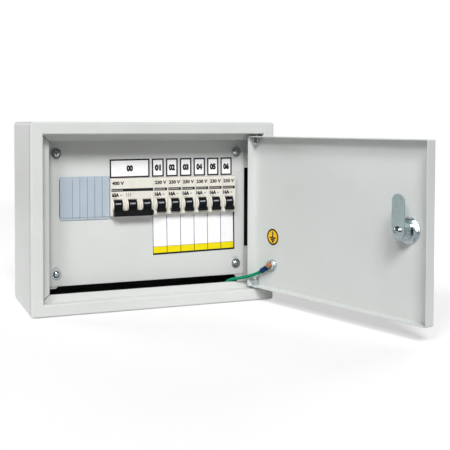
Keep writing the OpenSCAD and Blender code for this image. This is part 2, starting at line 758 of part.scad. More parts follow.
// Copper combs: each has a strip, and at every third pole a riser, a bridge and a pin
module busbar_combs() color([0.72, 0.45, 0.3]) for (k = [0:MAIN_POLES - 1]) {
    strip_u = comb_u + k * comb_pitch;
    half = comb_pin[0] / 2;
    last = k + BRANCHES;
    along_x(pole_x(k) - half, pole_x(last) + half) from_rail()
        translate([strip_u, -comb_top - comb_h]) square([comb_t, comb_h]);
    for (i = [k:MAIN_POLES:last]) along_x(pole_x(i) - half, pole_x(i) + half) from_rail() {
        translate([strip_u, -comb_top - comb_t]) square([comb_t, comb_top - comb_bridge + comb_t]);
        translate([strip_u, -comb_bridge - comb_bridge_t])
            square([comb_pin_u + comb_pin[1] - strip_u, comb_bridge_t]);
        translate([comb_pin_u, -comb_bridge - comb_bridge_t])
            square([comb_pin[1], comb_bridge + comb_bridge_t - comb_pin_v]);
    }
}

module busbar_insulation() color([0.55, 0.56, 0.58]) {
    slot_t = comb_t + 2 * snug_clear;
    block_t = (MAIN_POLES - 1) * comb_pitch + slot_t + 2 * comb_skin;
    floor_v = -comb_top - comb_h - snug_clear;
    last = MAIN_POLES + BRANCHES - 1;
    along_x(breakers_x + module_play, pole_x(last) + pole_w / 2) from_rail() difference() {
        translate([comb_u - snug_clear - comb_skin, floor_v - comb_skin])
            square([block_t, comb_skin - floor_v - comb_top + comb_cover]);
        for (k = [0:MAIN_POLES - 1])
            translate([comb_u + k * comb_pitch - snug_clear, floor_v]) square([slot_t, 2 * comb_h]);
    }
}

// Terminal bar with wire holes from below and clamp screws from the front
module terminal_bar(z) difference() {
    translate([-bar_l / 2, bar_back_y - bar_d, z - bar_h / 2]) cube([bar_l, bar_d, bar_h]);
    at_bar_holes(z) {
        translate([0, bar_back_y - bar_d / 2 + bar_hole_back, -bar_h])
            cylinder(r = bar_hole_r, h = 2 * bar_h);
        rod_y(0, 0, bar_screw_r + run_clear, bar_back_y - bar_d - overcut, bar_back_y - bar_d / 2);
    }
}

module at_bar_holes(z) for (i = [0:BAR_HOLES - 1])
    translate([(i - (BAR_HOLES - 1) / 2) * bar_pitch, 0, z]) children();

module clamp_screws(z) at_bar_holes(z) difference() {
    head_y = bar_back_y - bar_d - bar_screw_out;
    rod_y(0, 0, bar_screw_r, head_y, head_y + bar_screw_l);
    translate([0, head_y, 0]) cube([4 * bar_screw_r, 2 * driver_slot_in, driver_slot], center = true);
}

// Posts with a saddle that carry a terminal bar off the back wall
module bar_supports(z) for (s = [-1, 1])
    along_x(s * bar_post_x - bar_post_w / 2, s * bar_post_x + bar_post_w / 2)
        translate([0, z]) mirrored_profile([
            [bar_back_y, bar_h / 2], [bar_back_y - bar_jaw, bar_h / 2],
            [bar_back_y - bar_jaw, bar_h / 2 + bar_jaw_t], [bar_back_y, bar_h / 2 + bar_jaw_t],
            [bar_back_y + bar_jaw_root, bar_post_half], [back_y - 2 * bar_foot_t, bar_post_half],
            [back_y - bar_foot_t, bar_foot_half], [back_y, bar_foot_half]
        ]);

module neutral_bar() color([0.8, 0.66, 0.35]) terminal_bar(neutral_z);
module neutral_supports() color([0.15, 0.35, 0.7]) bar_supports(neutral_z);
module earth_bar() color([0.8, 0.66, 0.35]) terminal_bar(earth_z);
module bar_screws() color([0.74, 0.76, 0.77]) {
    clamp_screws(neutral_z);
    clamp_screws(earth_z);
}
module earth_supports() color([0.25, 0.6, 0.3]) bar_supports(earth_z);

// Stack on an earth stud, built upright on its wall: washer, lug, washer, nut
module stud_rod() cylinder(r = stud_r, h = stud_l);
module stud_washers() for (h = [0, stack_washer_t + lug_t])
    translate([0, 0, h]) ring(stack_washer_d / 2, stud_r + snug_clear, stack_washer_t);
module stud_nut() translate([0, 0, 2 * stack_washer_t + lug_t])
    hex_nut(stack_nut_af, stud_r + run_clear, stack_nut_t);
module stud_lug(turn) rotate(turn) translate([0, 0, stack_washer_t]) difference() {
    union() {
        cylinder(r = lug_ring_r, h = lug_t);
        translate([0, -lug_neck_w / 2, 0]) cube([sleeve_in, lug_neck_w, lug_t]);
    }
    translate([0, 0, -overcut]) cylinder(r = lug_hole_r, h = lug_t + 2 * overcut);
}
module stud_sleeve(turn) rotate(turn) translate([sleeve_in, 0, sleeve_h]) rotate([0, 90, 0])
    cylinder(r = sleeve_r, h = sleeve_l);

module body_stud() color([0.72, 0.45, 0.3]) at_body_stud() stud_rod();
module body_stud_washers() color([0.74, 0.76, 0.77]) at_body_stud() stud_washers();
module body_stud_nut() color([0.74, 0.76, 0.77]) at_body_stud() stud_nut();
module body_lug() color([0.76, 0.74, 0.7]) at_body_stud() stud_lug(body_lug_turn);
module body_lug_sleeve() color([0.06, 0.2, 0.43]) at_body_stud() stud_sleeve(body_lug_turn);
module door_stud() color([0.72, 0.45, 0.3]) on_door() at_door_stud() stud_rod();
module door_stud_washers() color([0.74, 0.76, 0.77]) on_door() at_door_stud() stud_washers();
module door_stud_nut() color([0.74, 0.76, 0.77]) on_door() at_door_stud() stud_nut();
module door_lug() color([0.76, 0.74, 0.7]) on_door() at_door_stud() stud_lug(-door_lug_turn);
module door_lug_sleeve() color([0.06, 0.2, 0.43]) on_door() at_door_stud() stud_sleeve(-door_lug_turn);

module earth_wire() color([0.04, 0.59, 0.41]) {
    rings = len(wire_path);
    polyhedron(
        points = [for (i = [0:rings - 1]) each wire_ring(i)],
        faces = concat(
            [[for (k = [0:WIRE_SIDES - 1]) k]],
            [for (i = [0:rings - 2], k = [0:WIRE_SIDES - 1])
                let (a = i * WIRE_SIDES, n = (k + 1) % WIRE_SIDES)
                [a + k, a + WIRE_SIDES + k, a + WIRE_SIDES + n, a + n]],
            [[for (k = [WIRE_SIDES - 1:-1:0]) (rings - 1) * WIRE_SIDES + k]]
        )
    );
}

module lock_bore_shape(clear) intersection() {
    circle(barrel_r + clear);
    square([barrel_flats + 2 * clear, 2 * barrel_d], center = true);
}

module door_panel() color([0.84, 0.85, 0.84]) on_door() difference() {
    folded_block(2 * door_x, 2 * door_z, front_y, door_back_y, door_corner_r, fold_r);
    along_y(door_in_y, door_back_y + overcut)
        rounded_rect(2 * (door_x - sheet), 2 * (door_z - sheet), door_corner_r - sheet);
    translate([lock_x, 0, 0]) along_y(front_y - overcut, door_in_y + overcut) lock_bore_shape(snug_clear);
    translate([hinge_x, hinge_y, -door_z - overcut])
        cylinder(r = pin_r + run_clear, h = 2 * (door_z + overcut));
}

// Hinge pins: a headed stud through the door's edge that turns in the frame's step
module hinge_pins() color([0.72, 0.74, 0.76]) on_door() for (s = [0, 1]) mirror([0, 0, s]) {
    cap_end = pin_head_h + pin_neck_h + pin_cap_h;
    translate([hinge_x, hinge_y, door_z - sheet]) rotate_extrude() polygon([
        [0, -cap_end], [pin_cap_r - pin_cap_edge, -cap_end], [pin_cap_r, pin_cap_edge - cap_end],
        [pin_cap_r, -pin_head_h - pin_neck_h], [pin_neck_r, -pin_head_h - pin_neck_h],
        [pin_neck_r, -pin_head_h], [pin_head_r, -pin_head_h], [pin_head_r, 0], [pin_r, 0],
        [pin_r, door_gap_z + 2 * sheet + pin_reach], [0, door_gap_z + 2 * sheet + pin_reach]
    ]);
}

module lock_barrel() color([0.78, 0.8, 0.81]) on_door() difference() {
    union() {
        rod_y(lock_x, 0, lock_face_d / 2, front_y - lock_face_t, front_y);
        translate([lock_x, 0, 0]) along_y(front_y - lock_face_t / 2, barrel_end_y) lock_bore_shape(0);
    }
    rod_y(lock_x, 0, core_r + run_clear, front_y - lock_face_t - overcut, barrel_end_y + overcut);
}

module lock_washer() color([0.74, 0.76, 0.77]) on_door() translate([lock_x, door_in_y, 0]) rotate([-90, 0, 0])
    ring(lock_washer_d / 2, barrel_r + snug_clear, lock_washer_t);

module lock_nut() color([0.76, 0.78, 0.79]) on_door() translate([lock_x, door_in_y + lock_washer_t, 0])
    rotate([-90, 0, 0]) hex_nut(lock_nut_af, barrel_r + run_clear, lock_nut_t);

module lock_core() color([0.7, 0.71, 0.72]) on_door() difference() {
    union() {
        rod_y(lock_x, 0, core_r, core_face_y, cam_y);
        translate([lock_x - tang_w / 2, cam_y - overcut, -tang_w / 2])
            cube([tang_w, overcut + cam_t - tang_short, tang_w]);
    }
    translate([lock_x, core_face_y, 0]) cube([key_slot[0], 2 * key_slot[2], key_slot[1]], center = true);
    rod_y(lock_x, 0, cam_screw_r + run_clear, cam_y + cam_t - cam_screw_l - overcut, cam_y + cam_t + overcut);
}

module cam_shape() {
    circle(cam_w / 2);
    translate([-cam_w / 2, 0]) square([cam_w, cam_l - cam_tip_r]);
    intersection() {
        translate([0, cam_l - cam_tip_r]) circle(cam_tip_r);
        translate([-cam_w / 2, 0]) square([cam_w, cam_l + overcut]);
    }
}

module lock_cam() color([0.62, 0.68, 0.71]) on_door()
    translate([lock_x, 0, 0]) along_y(cam_y, cam_y + cam_t) difference() {
        cam_shape();
        square(tang_w + 2 * tang_clear, center = true);
    }

module cam_screw() color([0.78, 0.8, 0.81]) on_door()
    translate([lock_x, cam_y + cam_t, 0]) rotate([-90, 0, 0])
        pan_screw(cam_screw_head[0], cam_screw_head[1], cam_screw_r, cam_screw_l);

enclosure_body();
front_frame();
panel_brackets();
false_panel();
pan_screws();
panel_washers();
blanking_strip();
din_rail();
rail_brackets();
main_case();
main_levers();
main_tie_bar();
for (n = [1:MAIN_POLES])
    main_clip(n);
for (n = [1:BRANCHES]) {
    branch_case(n);
    branch_lever(n);
    branch_clip(n);
}
terminal_screws();
busbar_combs();
busbar_insulation();
neutral_bar();
neutral_supports();
earth_bar();
earth_supports();
bar_screws();
body_stud();
body_stud_washers();
body_stud_nut();
body_lug();
body_lug_sleeve();
earth_wire();
door_panel();
hinge_pins();
door_stud();
door_stud_washers();
door_stud_nut();
door_lug();
door_lug_sleeve();
lock_barrel();
lock_washer();
lock_nut();
lock_core();
lock_cam();
cam_screw();
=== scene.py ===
"""Looks of a wall-mounted breaker panel box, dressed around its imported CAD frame.

Pieces are sized and placed in millimetres. Shaders, the camera and the lights are in metres.
"""

import logging
import math
from dataclasses import dataclass, field
from enum import Enum
from typing import ClassVar, Dict, List, Optional, Sequence, Tuple, Union

import bmesh
import bpy
from mathutils import Matrix, Vector


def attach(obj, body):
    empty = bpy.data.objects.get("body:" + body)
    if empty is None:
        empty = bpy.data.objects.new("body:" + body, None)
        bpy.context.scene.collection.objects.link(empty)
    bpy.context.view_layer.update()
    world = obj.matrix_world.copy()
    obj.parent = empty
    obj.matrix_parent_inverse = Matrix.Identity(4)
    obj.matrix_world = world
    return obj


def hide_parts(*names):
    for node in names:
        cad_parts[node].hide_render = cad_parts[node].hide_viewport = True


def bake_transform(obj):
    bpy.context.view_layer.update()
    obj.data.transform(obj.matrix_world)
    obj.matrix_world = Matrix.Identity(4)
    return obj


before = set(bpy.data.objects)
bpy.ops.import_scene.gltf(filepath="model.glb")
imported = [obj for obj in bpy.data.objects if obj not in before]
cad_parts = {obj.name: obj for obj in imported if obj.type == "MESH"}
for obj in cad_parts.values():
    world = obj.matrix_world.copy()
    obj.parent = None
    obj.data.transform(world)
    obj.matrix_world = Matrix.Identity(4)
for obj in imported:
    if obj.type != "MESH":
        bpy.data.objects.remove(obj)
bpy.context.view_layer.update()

LOG = logging.getLogger("breaker_panel")
Piece = bpy.types.Object
Material = bpy.types.Material
Verts = Sequence[bmesh.types.BMVert]
Colour = Tuple[float, float, float]
Point = Tuple[float, float, float]
Flat = Tuple[float, float]
Rect = Tuple[float, float, float, float]
# Cells for each metre, octaves, and weight of the finer octaves
Grain = Tuple[float, float, float]
# CAD nodes by the finish that goes on them
Looks = Dict[str, Sequence[str]]

MM = 0.001
ACROSS: Point = (1.0, 0.0, 0.0)
BACK: Point = (0.0, 1.0, 0.0)
UP: Point = (0.0, 0.0, 1.0)
EVEN: Point = (1.0, 1.0, 1.0)
BLACK: Colour = (0.0, 0.0, 0.0)
MAIN_POLES = 3
BRANCHES = 6
FIGURE_STEPS = 4
# Thickness of label film and of ink, and how far film is kept off its face
FILM = 0.12
INK = 0.04
LIFT = 0.01


class Body(Enum):
    """CAD bodies that pieces ride on."""

    BOX = "box"
    DOOR = "door"
    MAIN_HANDLE = "main_handle"


class Facing(Enum):
    """Which way a flat piece looks before the door is swung open, in degrees from the front."""

    FRONT = 0.0
    INTO_BOX = 180.0


Carrier = Union[Body, str]


def srgb(*levels: int) -> Colour:
    """Turns an eight-bit display colour into a linear one.

    Args:
        levels: red, green and blue, 0 to 255.

    Returns:
        The linear colour.
    """
    def linear(level: float) -> float:
        """Undoes the display curve for one channel."""
        return level / 12.92 if level <= 0.04045 else ((level + 0.055) / 1.055) ** 2.4
    return tuple(linear(level / 255) for level in levels)


def shade(colour: Colour, share: float) -> Colour:
    """A colour at a share of its strength."""
    return tuple(share * c for c in colour)


def metres(point: Sequence[float]) -> Sequence[float]:
    """A place in millimetres, in metres."""
    return tuple(c * MM for c in point)


def numbered(stem: str, count: int) -> List[str]:
    """Names of CAD nodes that are counted from 1."""
    return ["%s_%d" % (stem, n + 1) for n in range(count)]


@dataclass(frozen=True)
class Hinge:
    """Where the door hinges, how far it stands open, and where its inner face is when closed."""

    pin: Flat = (128.0, -114.5)
    angle: float = 106.0
    face_y: float = -119.0

    def swing(self) -> Matrix:
        """The turn that opens the closed door."""
        pin = Matrix.Translation(metres((*self.pin, 0.0)))
        return pin @ Matrix.Rotation(math.radians(self.angle), 4, "Z") @ pin.inverted()

    def turned(self, direction: Point) -> Point:
        """A direction of the closed door, on the open one."""
        return tuple(self.swing().to_3x3() @ Vector(direction))

    def moved(self, point: Point) -> Vector:
        """A point of the closed door, on the open one and in metres."""
        return self.swing() @ Vector(metres(point))


HINGE = Hinge()


class Signal:
    """A shader socket that Python expressions work on."""

    def __init__(self, recipe: "Recipe", socket: bpy.types.NodeSocket) -> None:
        """Keeps the socket and the recipe that it belongs to."""
        self.recipe = recipe
        self.socket = socket

    def _math(self, operation: str, *values: "Value") -> "Signal":
        """Adds one Math node with its inputs in order."""
        return self.recipe.node("ShaderNodeMath", {"operation": operation}, dict(enumerate(values)))

    def __add__(self, other: "Value") -> "Signal":
        """self + other."""
        return self._math("ADD", self, other)

    def __radd__(self, other: "Value") -> "Signal":
        """other + self."""
        return self._math("ADD", other, self)

    def __sub__(self, other: "Value") -> "Signal":
        """self - other."""
        return self._math("SUBTRACT", self, other)

    def __rsub__(self, other: "Value") -> "Signal":
        """other - self."""
        return self._math("SUBTRACT", other, self)

    def __mul__(self, other: "Value") -> "Signal":
        """self * other."""
        return self._math("MULTIPLY", self, other)

    def __rmul__(self, other: "Value") -> "Signal":
        """other * self."""
        return self._math("MULTIPLY", other, self)

    def __truediv__(self, other: "Value") -> "Signal":
        """self / other."""
        return self._math("DIVIDE", self, other)

    def __rtruediv__(self, other: "Value") -> "Signal":
        """other / self."""
        return self._math("DIVIDE", other, self)

    def wave(self, length: float) -> "Signal":
        """Sine of the value, one turn for each length."""
        return self._math("SINE", self * (2 * math.pi / length))

    def size(self) -> "Signal":
        """The value without its sign."""
        return self._math("ABSOLUTE", self)

    def step(self, low: float, high: float) -> "Signal":
        """Smooth step from 0 at low to 1 at high."""
        inputs = {"Value": self, "From Min": low, "From Max": high}
        return self.recipe.node("ShaderNodeMapRange", {"interpolation_type": "SMOOTHSTEP"}, inputs)


Value = Union[Signal, float, Sequence[float]]
Pair = Tuple[Signal, Signal]


class Recipe:
    """One material under construction: a principled shader and the nodes that feed it."""

    # Directions out of the box lean to the back, so that the back's inner face counts as inside
    OUTWARD: Point = (1.0, 0.0, 1.0)
    OUTWARD_LEAN: Point = (0.0, 0.05, 0.0)
    INSIDE_BAND: Flat = (-0.04, -0.03)
    EDGE_SAMPLES: int = 4
    # Numbers of the Mix node's factor, of its two colours, and of its colour output
    MIX_INPUTS: Tuple[int, int, int] = (0, 6, 7)
    MIX_OUTPUT: int = 2

    def __init__(self, name: str) -> None:
        """Starts an empty material.

        Args:
            name: the material's name.
        """
        self.material = bpy.data.materials.new(name)
        self.material.use_nodes = True
        self.tree = self.material.node_tree
        self.tree.nodes.clear()
        self.shader = self.tree.nodes.new("ShaderNodeBsdfPrincipled")
        out = self.tree.nodes.new("ShaderNodeOutputMaterial")
        self.tree.links.new(self.shader.outputs[0], out.inputs["Surface"])

    def _set(self, socket: bpy.types.NodeSocket, value: Value) -> None:
        """Links a signal to a socket, or sets a constant on it.

        Args:
            socket: the input socket.
            value: a signal, number, colour or vector.
        """
        if isinstance(value, Signal):
            self.tree.links.new(value.socket, socket)
        elif isinstance(value, (int, float)):
            socket.default_value = value
        else:
            size = len(socket.default_value)
            socket.default_value = (list(value) + [1.0])[:size]

    def node(
        self,
        kind: str,
        settings: Optional[Dict[str, object]] = None,
        inputs: Optional[Dict[Union[int, str], Value]] = None,
        output: Union[int, str] = 0,
    ) -> Signal:
        """Adds any node.

        Args:
            kind: the node's type name.
            settings: its properties.
            inputs: values or links of its sockets, by name or number.
            output: the socket to hand back.

        Returns:
            The chosen output.
        """
        made = self.tree.nodes.new(kind)
        for key, value in (settings or {}).items():
            setattr(made, key, value)
        for key, value in (inputs or {}).items():
            self._set(made.inputs[key], value)
        return Signal(self, made.outputs[output])

    def feed(self, socket: str, value: Value) -> None:
        """Gives one socket of the shader its value."""
        self._set(self.shader.inputs[socket], value)

    def place(self) -> Signal:
        """Object coordinates, in metres."""
        return self.node("ShaderNodeTexCoord", output="Object")

    def in_picture(self) -> Signal:
        """1 where the stage is looked at straight, and 0 for the light that it throws on the box."""
        return self.node("ShaderNodeLightPath", output="Is Camera Ray")

    def noise(self, where: Value, grain: Grain) -> Signal:
        """Smooth noise around 0.5, of one grain."""
        inputs = dict(zip(("Vector", "Scale", "Detail", "Roughness"), (where, *grain)))
        return self.node("ShaderNodeTexNoise", None, inputs)

    def vector(self, operation: str, output: Union[int, str], *values: Value) -> Signal:
        """Adds one Vector Math node with its inputs in order, and hands one output back."""
        inputs = dict(enumerate(values))
        return self.node("ShaderNodeVectorMath", {"operation": operation}, inputs, output)

    def stretch(self, where: Signal, scale: Point) -> Signal:
        """Coordinates scaled along each axis."""
        return where if scale == EVEN else self.vector("MULTIPLY", 0, where, scale)

    def dot(self, first: Value, second: Value) -> Signal:
        """Dot product of two vectors, such as a point's distance along an axis."""
        return self.vector("DOT_PRODUCT", "Value", first, second)

    def inward(self, where: Signal, depth: float) -> Signal:
        """1 on faces behind a depth that look into the box, and 0 on its outside.

        Args:
            where: coordinates to read it at.
            depth: how far back it starts.

        Returns:
            The share.
        """
        normal = self.node("ShaderNodeNewGeometry", output="Normal")
        outward = self.vector("ADD", 0, self.stretch(where, self.OUTWARD), self.OUTWARD_LEAN)
        outside = self.dot(normal, outward).step(*self.INSIDE_BAND)
        return self.dot(where, BACK).step(depth, depth + MM) * (1.0 - outside)

    def mix(self, first: Value, second: Value, share: Value) -> Signal:
        """Mixes two colours: the first where the share is 0, the second where it is 1."""
        inputs = dict(zip(self.MIX_INPUTS, (share, first, second)))
        return self.node("ShaderNodeMix", {"data_type": "RGBA"}, inputs, self.MIX_OUTPUT)

    def soft_edges(self, radius: float) -> Signal:
        """Normals rounded over sharp edges, as a mould or a fold leaves them."""
        return self.node("ShaderNodeBevel", {"samples": self.EDGE_SAMPLES}, {"Radius": radius})

    def bump(self, height: Signal, relief: Flat, normal: Optional[Signal] = None) -> Signal:
        """Turns a height into a normal.

        Args:
            height: the height signal.
            relief: how much of it shows, and the height of one unit in metres.
            normal: the normal that it starts from.

        Returns:
            The bumped normal.
        """
        inputs = {"Height": height, "Strength": relief[0], "Distance": relief[1]}
        if normal is not None:
            inputs["Normal"] = normal
        return self.node("ShaderNodeBump", None, inputs)


class Surround(Recipe):
    """The studio's surround under construction: a background and the nodes that feed it."""

    def __init__(self, name: str) -> None:
        """Starts a plain surround.

        Args:
            name: the world's name.
        """
        self.world = bpy.data.worlds.new(name)
        self.world.use_nodes = True
        self.tree = self.world.node_tree
        self.shader = self.tree.nodes["Background"]


@dataclass(frozen=True)
class Finish:
    """A finish with a cloudy tint, and a fine grain in its gloss and its relief.

    The cloud runs from a shade of the colour to the colour, or from the colour to the second one.
    """

    name: str
    colour: Colour
    roughness: float
    second: Optional[Colour] = None
    specular: float = 0.3
    metallic: float = 0.0
    cloud: Grain = (120.0, 2.0, 0.5)
    cloud_stretch: Point = EVEN
    cloud_band: Flat = (0.2, 0.6)
    cloud_shade: float = 0.95
    cloud_rough: float = 0.0
    fine: Grain = (1800.0, 3.0, 0.7)
    fine_stretch: Point = EVEN
    fine_rough: float = 0.1
    relief: Flat = (0.06, 0.02 * MM)
    edge: float = 0.0

    def detail(self, r: Recipe, where: Signal, tint: Signal, height: Signal) -> Pair:
        """What one kind of finish adds to its tint and its height."""
        return tint, height

    def make(self) -> Material:
        """Builds the material.

        Returns:
            The material.
        """
        r = Recipe(self.name)
        where = r.place()
        cloud = r.noise(r.stretch(where, self.cloud_stretch), self.cloud)
        fine = r.noise(r.stretch(where, self.fine_stretch), self.fine)
        ends = (shade(self.colour, self.cloud_shade), self.colour)
        if self.second is not None:
            ends = (self.colour, self.second)
        tint, height = self.detail(r, where, r.mix(*ends, cloud.step(*self.cloud_band)), fine)
        rough = self.roughness + self.fine_rough * fine
        r.feed("Base Color", tint)
        r.feed("Roughness", rough + self.cloud_rough * cloud if self.cloud_rough else rough)
        r.feed("Metallic", self.metallic)
        r.feed("Specular IOR Level", self.specular)
        r.feed("Normal", r.bump(height, self.relief, r.soft_edges(self.edge) if self.edge else None))
        return r.material


@dataclass(frozen=True)
class Film(Finish):
    """Printed film or card: paper white, or one ink, with a trace of its fibre."""


@dataclass(frozen=True)
class WireSheath(Finish):
    """Soft extruded wire sheath with faint drawing marks."""

    specular: float = 0.16
    cloud: Grain = (60.0, 2.0, 0.5)
    cloud_band: Flat = (0.3, 0.6)
    cloud_shade: float = 0.82
    fine: Grain = (700.0, 2.0, 0.5)
    fine_rough: float = 0.16
    relief: Flat = (0.1, 0.05 * MM)


@dataclass(frozen=True)
class MouldedPlastic(Finish):
    """Moulded plastic with a fine spark-eroded grain, flow streaks and rounded edges."""

    roughness: float = 0.37
    specular: float = 0.45
    cloud: Grain = (90.0, 2.0, 0.5)
    cloud_stretch: Point = (1.0, 1.0, 0.25)
    cloud_band: Flat = (0.25, 0.7)
    cloud_shade: float = 0.94
    fine: Grain = (1500.0, 3.0, 0.65)
    fine_rough: float = 0.14
    relief: Flat = (0.14, 0.05 * MM)
    edge: float = 0.5 * MM


@dataclass(frozen=True)
class PlatedSteel(Finish):
    """Zinc or nickel plate: a cool metal with faint bloom and fine rub lines."""

    specular: float = 0.5
    metallic: float = 1.0
    cloud: Grain = (160.0, 3.0, 0.5)
    cloud_band: Flat = (0.42, 0.72)
    cloud_rough: float = 0.06
    fine: Grain = (3200.0, 2.0, 0.6)
    fine_stretch: Point = (1.0, 1.0, 0.06)
    fine_rough: float = 0.16
    relief: Flat = (0.08, 0.03 * MM)
    edge: float = 0.25 * MM


@dataclass(frozen=True)
class BareMetal(Finish):
    """Copper or brass with a light tarnish, threaded along an axis where it is a stud."""

    specular: float = 0.5
    metallic: float = 1.0
    cloud: Grain = (240.0, 3.0, 0.5)
    cloud_band: Flat = (0.45, 0.8)
    fine: Grain = (2400.0, 2.0, 0.5)
    fine_rough: float = 0.15
    fine_height: float = 0.15
    relief: Flat = (0.5, 0.25 * MM)
    thread_axis: Optional[Point] = None
    thread_pitch: float = 1.0 * MM
    thread_band: Flat = (0.2, 1.0)
    thread_height: float = 0.5

    def detail(self, r: Recipe, where: Signal, tint: Signal, height: Signal) -> Pair:
        """Cuts the thread, with tarnish in its grooves.

        Args:
            r: the material under construction.
            where: coordinates on the piece.
            tint: the cloudy tint.
            height: the fine grain.

        Returns:
            The tint and the height with the thread.
        """
        height = height * self.fine_height
        if self.thread_axis is not None:
            ridge = r.dot(where, self.thread_axis).wave(self.thread_pitch)
            tint = r.mix(tint, self.second, (0.0 - ridge).step(*self.thread_band))
            height = height + ridge * self.thread_height
        return tint, height


@dataclass(frozen=True)
class PowderCoat(Finish):
    """Satin powder coat on folded sheet steel, with its fine orange peel.

    Faces that look into the box behind the inside shade depth are painted dark, as painted shade. A
    painted shadow line runs along the seam at one depth, on the box's outer skin alone.
    """

    roughness: float = 0.36
    specular: float = 0.45
    cloud: Grain = (11.0, 3.0, 0.5)
    cloud_band: Flat = (0.35, 0.65)
    cloud_shade: float = 0.965
    fine: Grain = (900.0, 2.0, 0.6)
    fine_rough: float = 0.12
    relief: Flat = (0.10, 0.06 * MM)
    edge: float = 0.45 * MM
    swell: Grain = (180.0, 1.0, 0.5)
    swell_share: float = 0.8
    speck: Grain = (2600.0, 1.0, 0.5)
    speck_band: Flat = (0.66, 0.74)
    speck_shade: float = 0.93
    speck_share: float = 0.35
    # Depth behind which inside faces get painted shade, and the painted shade's colour
    inside_shade_depth: Optional[float] = None
    painted_shade_colour: Colour = (0.09, 0.09, 0.09)
    # Painted shadow line along the seam: its depth and its width
    seam_shadow: Optional[float] = None
    seam_shadow_band: Flat = (0.54 * MM, 0.9 * MM)
    skin: Flat = (147.0 * MM, 107.0 * MM)

    def detail(self, r: Recipe, where: Signal, tint: Signal, height: Signal) -> Pair:
        """Adds inside painted shade, a painted seam shadow, pale specks and the peel's longer swell.

        Args:
            r: the material under construction.
            where: coordinates on the piece.
            tint: the cloudy tint.
            height: the fine peel.

        Returns:
            The tint and the height with all of these.
        """
        # Painted shade: inside faces behind that depth are painted dark.
        if self.inside_shade_depth is not None:
            tint = r.mix(tint, self.painted_shade_colour, r.inward(where, self.inside_shade_depth))
        # Painted shadow line along the seam between frame and body, on the outer skin alone.
        if self.seam_shadow is not None:
            line = 1.0 - (r.dot(where, BACK) - self.seam_shadow).size().step(*self.seam_shadow_band)
            beside, above = (
                r.dot(where, axis).size().step(start, start + MM)
                for axis, start in zip((ACROSS, UP), self.skin)
            )
            tint = r.mix(tint, self.painted_shade_colour, line * (beside + above))
        speck = r.noise(where, self.speck).step(*self.speck_band)
        tint = r.mix(tint, shade(self.colour, self.speck_shade), speck * self.speck_share)
        return tint, height + self.swell_share * r.noise(where, self.swell)


@dataclass
class Finishes:
    """Every finish of the box, made once and shared."""

    made: Dict[str, Material] = field(default_factory=dict)

    def make(self) -> None:
        """Builds all the materials."""
        grey = srgb(216, 218, 216)
        copper, dark_copper = (0.9, 0.42, 0.24), (0.5, 0.19, 0.09)
        for finish in (
            # The body gets painted shade inside and a painted shadow line along its seam.
            PowderCoat("body_paint", grey, inside_shade_depth=-78.0 * MM, seam_shadow=-112.0 * MM),
            PowderCoat("panel_paint", grey, 0.4),
            PowderCoat("door_paint", srgb(215, 218, 216)),
            PlatedSteel("zinc_plate", (0.66, 0.72, 0.74), 0.04, (0.5, 0.56, 0.59)),
            PlatedSteel("cam_zinc", (0.71, 0.86, 0.88), 0.26, (0.62, 0.75, 0.77)),
            PlatedSteel("lock_nickel", (0.6, 0.68, 0.7), 0.16, (0.5, 0.58, 0.6)),
            MouldedPlastic("ivory_plastic", srgb(233, 229, 219), 0.35),
            MouldedPlastic("black_plastic", (0.0045, 0.005, 0.006), 0.35, specular=0.18),
            MouldedPlastic("clip_plastic", (0.03, 0.03, 0.035)),
            MouldedPlastic("blank_plastic", srgb(180, 193, 204), 0.35),
            MouldedPlastic("busbar_plastic", srgb(150, 152, 156)),
            MouldedPlastic("blue_plastic", (0.02, 0.1, 0.42)),
            MouldedPlastic("green_plastic", (0.05, 0.3, 0.08)),
            MouldedPlastic("sleeve_plastic", srgb(0, 54, 100), 0.35, specular=0.12),
            BareMetal("copper", copper, 0.3, dark_copper),
            BareMetal("door_stud_copper", copper, 0.3, dark_copper, thread_axis=HINGE.turned(BACK)),
            BareMetal("body_stud_copper", copper, 0.3, dark_copper, thread_axis=UP),
            BareMetal("brass_bar", (0.8, 0.58, 0.24), 0.3, (0.5, 0.34, 0.13)),
            WireSheath("green_sheath", srgb(0, 130, 92), 0.42),
            Film("label_film", srgb(250, 250, 250), 0.34),
            Film("black_ink", (0.012, 0.012, 0.014), 0.4),
            Film("pale_ink", (0.22, 0.215, 0.205), 0.45),
            Film("violet_ink", srgb(126, 124, 160), 0.4),
            Film("navy_ink", srgb(44, 52, 92), 0.4),
            Film("ochre_ink", srgb(128, 104, 10), 0.4),
            Film("yellow_ink", srgb(240, 222, 0), 0.38),
            Film("white_ink", (0.5, 0.56, 0.64), 0.4),
            Film("dash_ink", (0.5, 0.49, 0.46), 0.4),
            Film("sign_yellow", srgb(248, 192, 6), 0.38),
        ):
            self.made[finish.name] = finish.make()

    def coat(self, piece: Piece, finish: str) -> None:
        """Puts one finish on a piece."""
        piece.data.materials.clear()
        piece.data.materials.append(self.made[finish])


def link(name: str, data: bpy.types.ID) -> Piece:
    """Adds a mesh, a lamp or the like to the scene.

    Args:
        name: the new object's name.
        data: what it shows.

    Returns:
        The new object.
    """
    piece = bpy.data.objects.new(name, data)
    bpy.context.scene.collection.objects.link(piece)
    return piece


def close(name: str, work: bmesh.types.BMesh) -> Piece:
    """Turns worked geometry into a new piece.

    Args:
        name: the piece's name.
        work: its geometry, which is used up.

    Returns:
        The new piece.
    """
    mesh = bpy.data.meshes.new(name)
    bmesh.ops.recalc_face_normals(work, faces=work.faces)
    work.to_mesh(mesh)
    work.free()
    return link(name, mesh)


def strip(work: bmesh.types.BMesh, first: Verts, second: Verts) -> None:
    """Closes the strip between two rings of as many points."""
    for face in zip(first, [*first[1:], first[0]], [*second[1:], second[0]], second):
        work.faces.new(face)


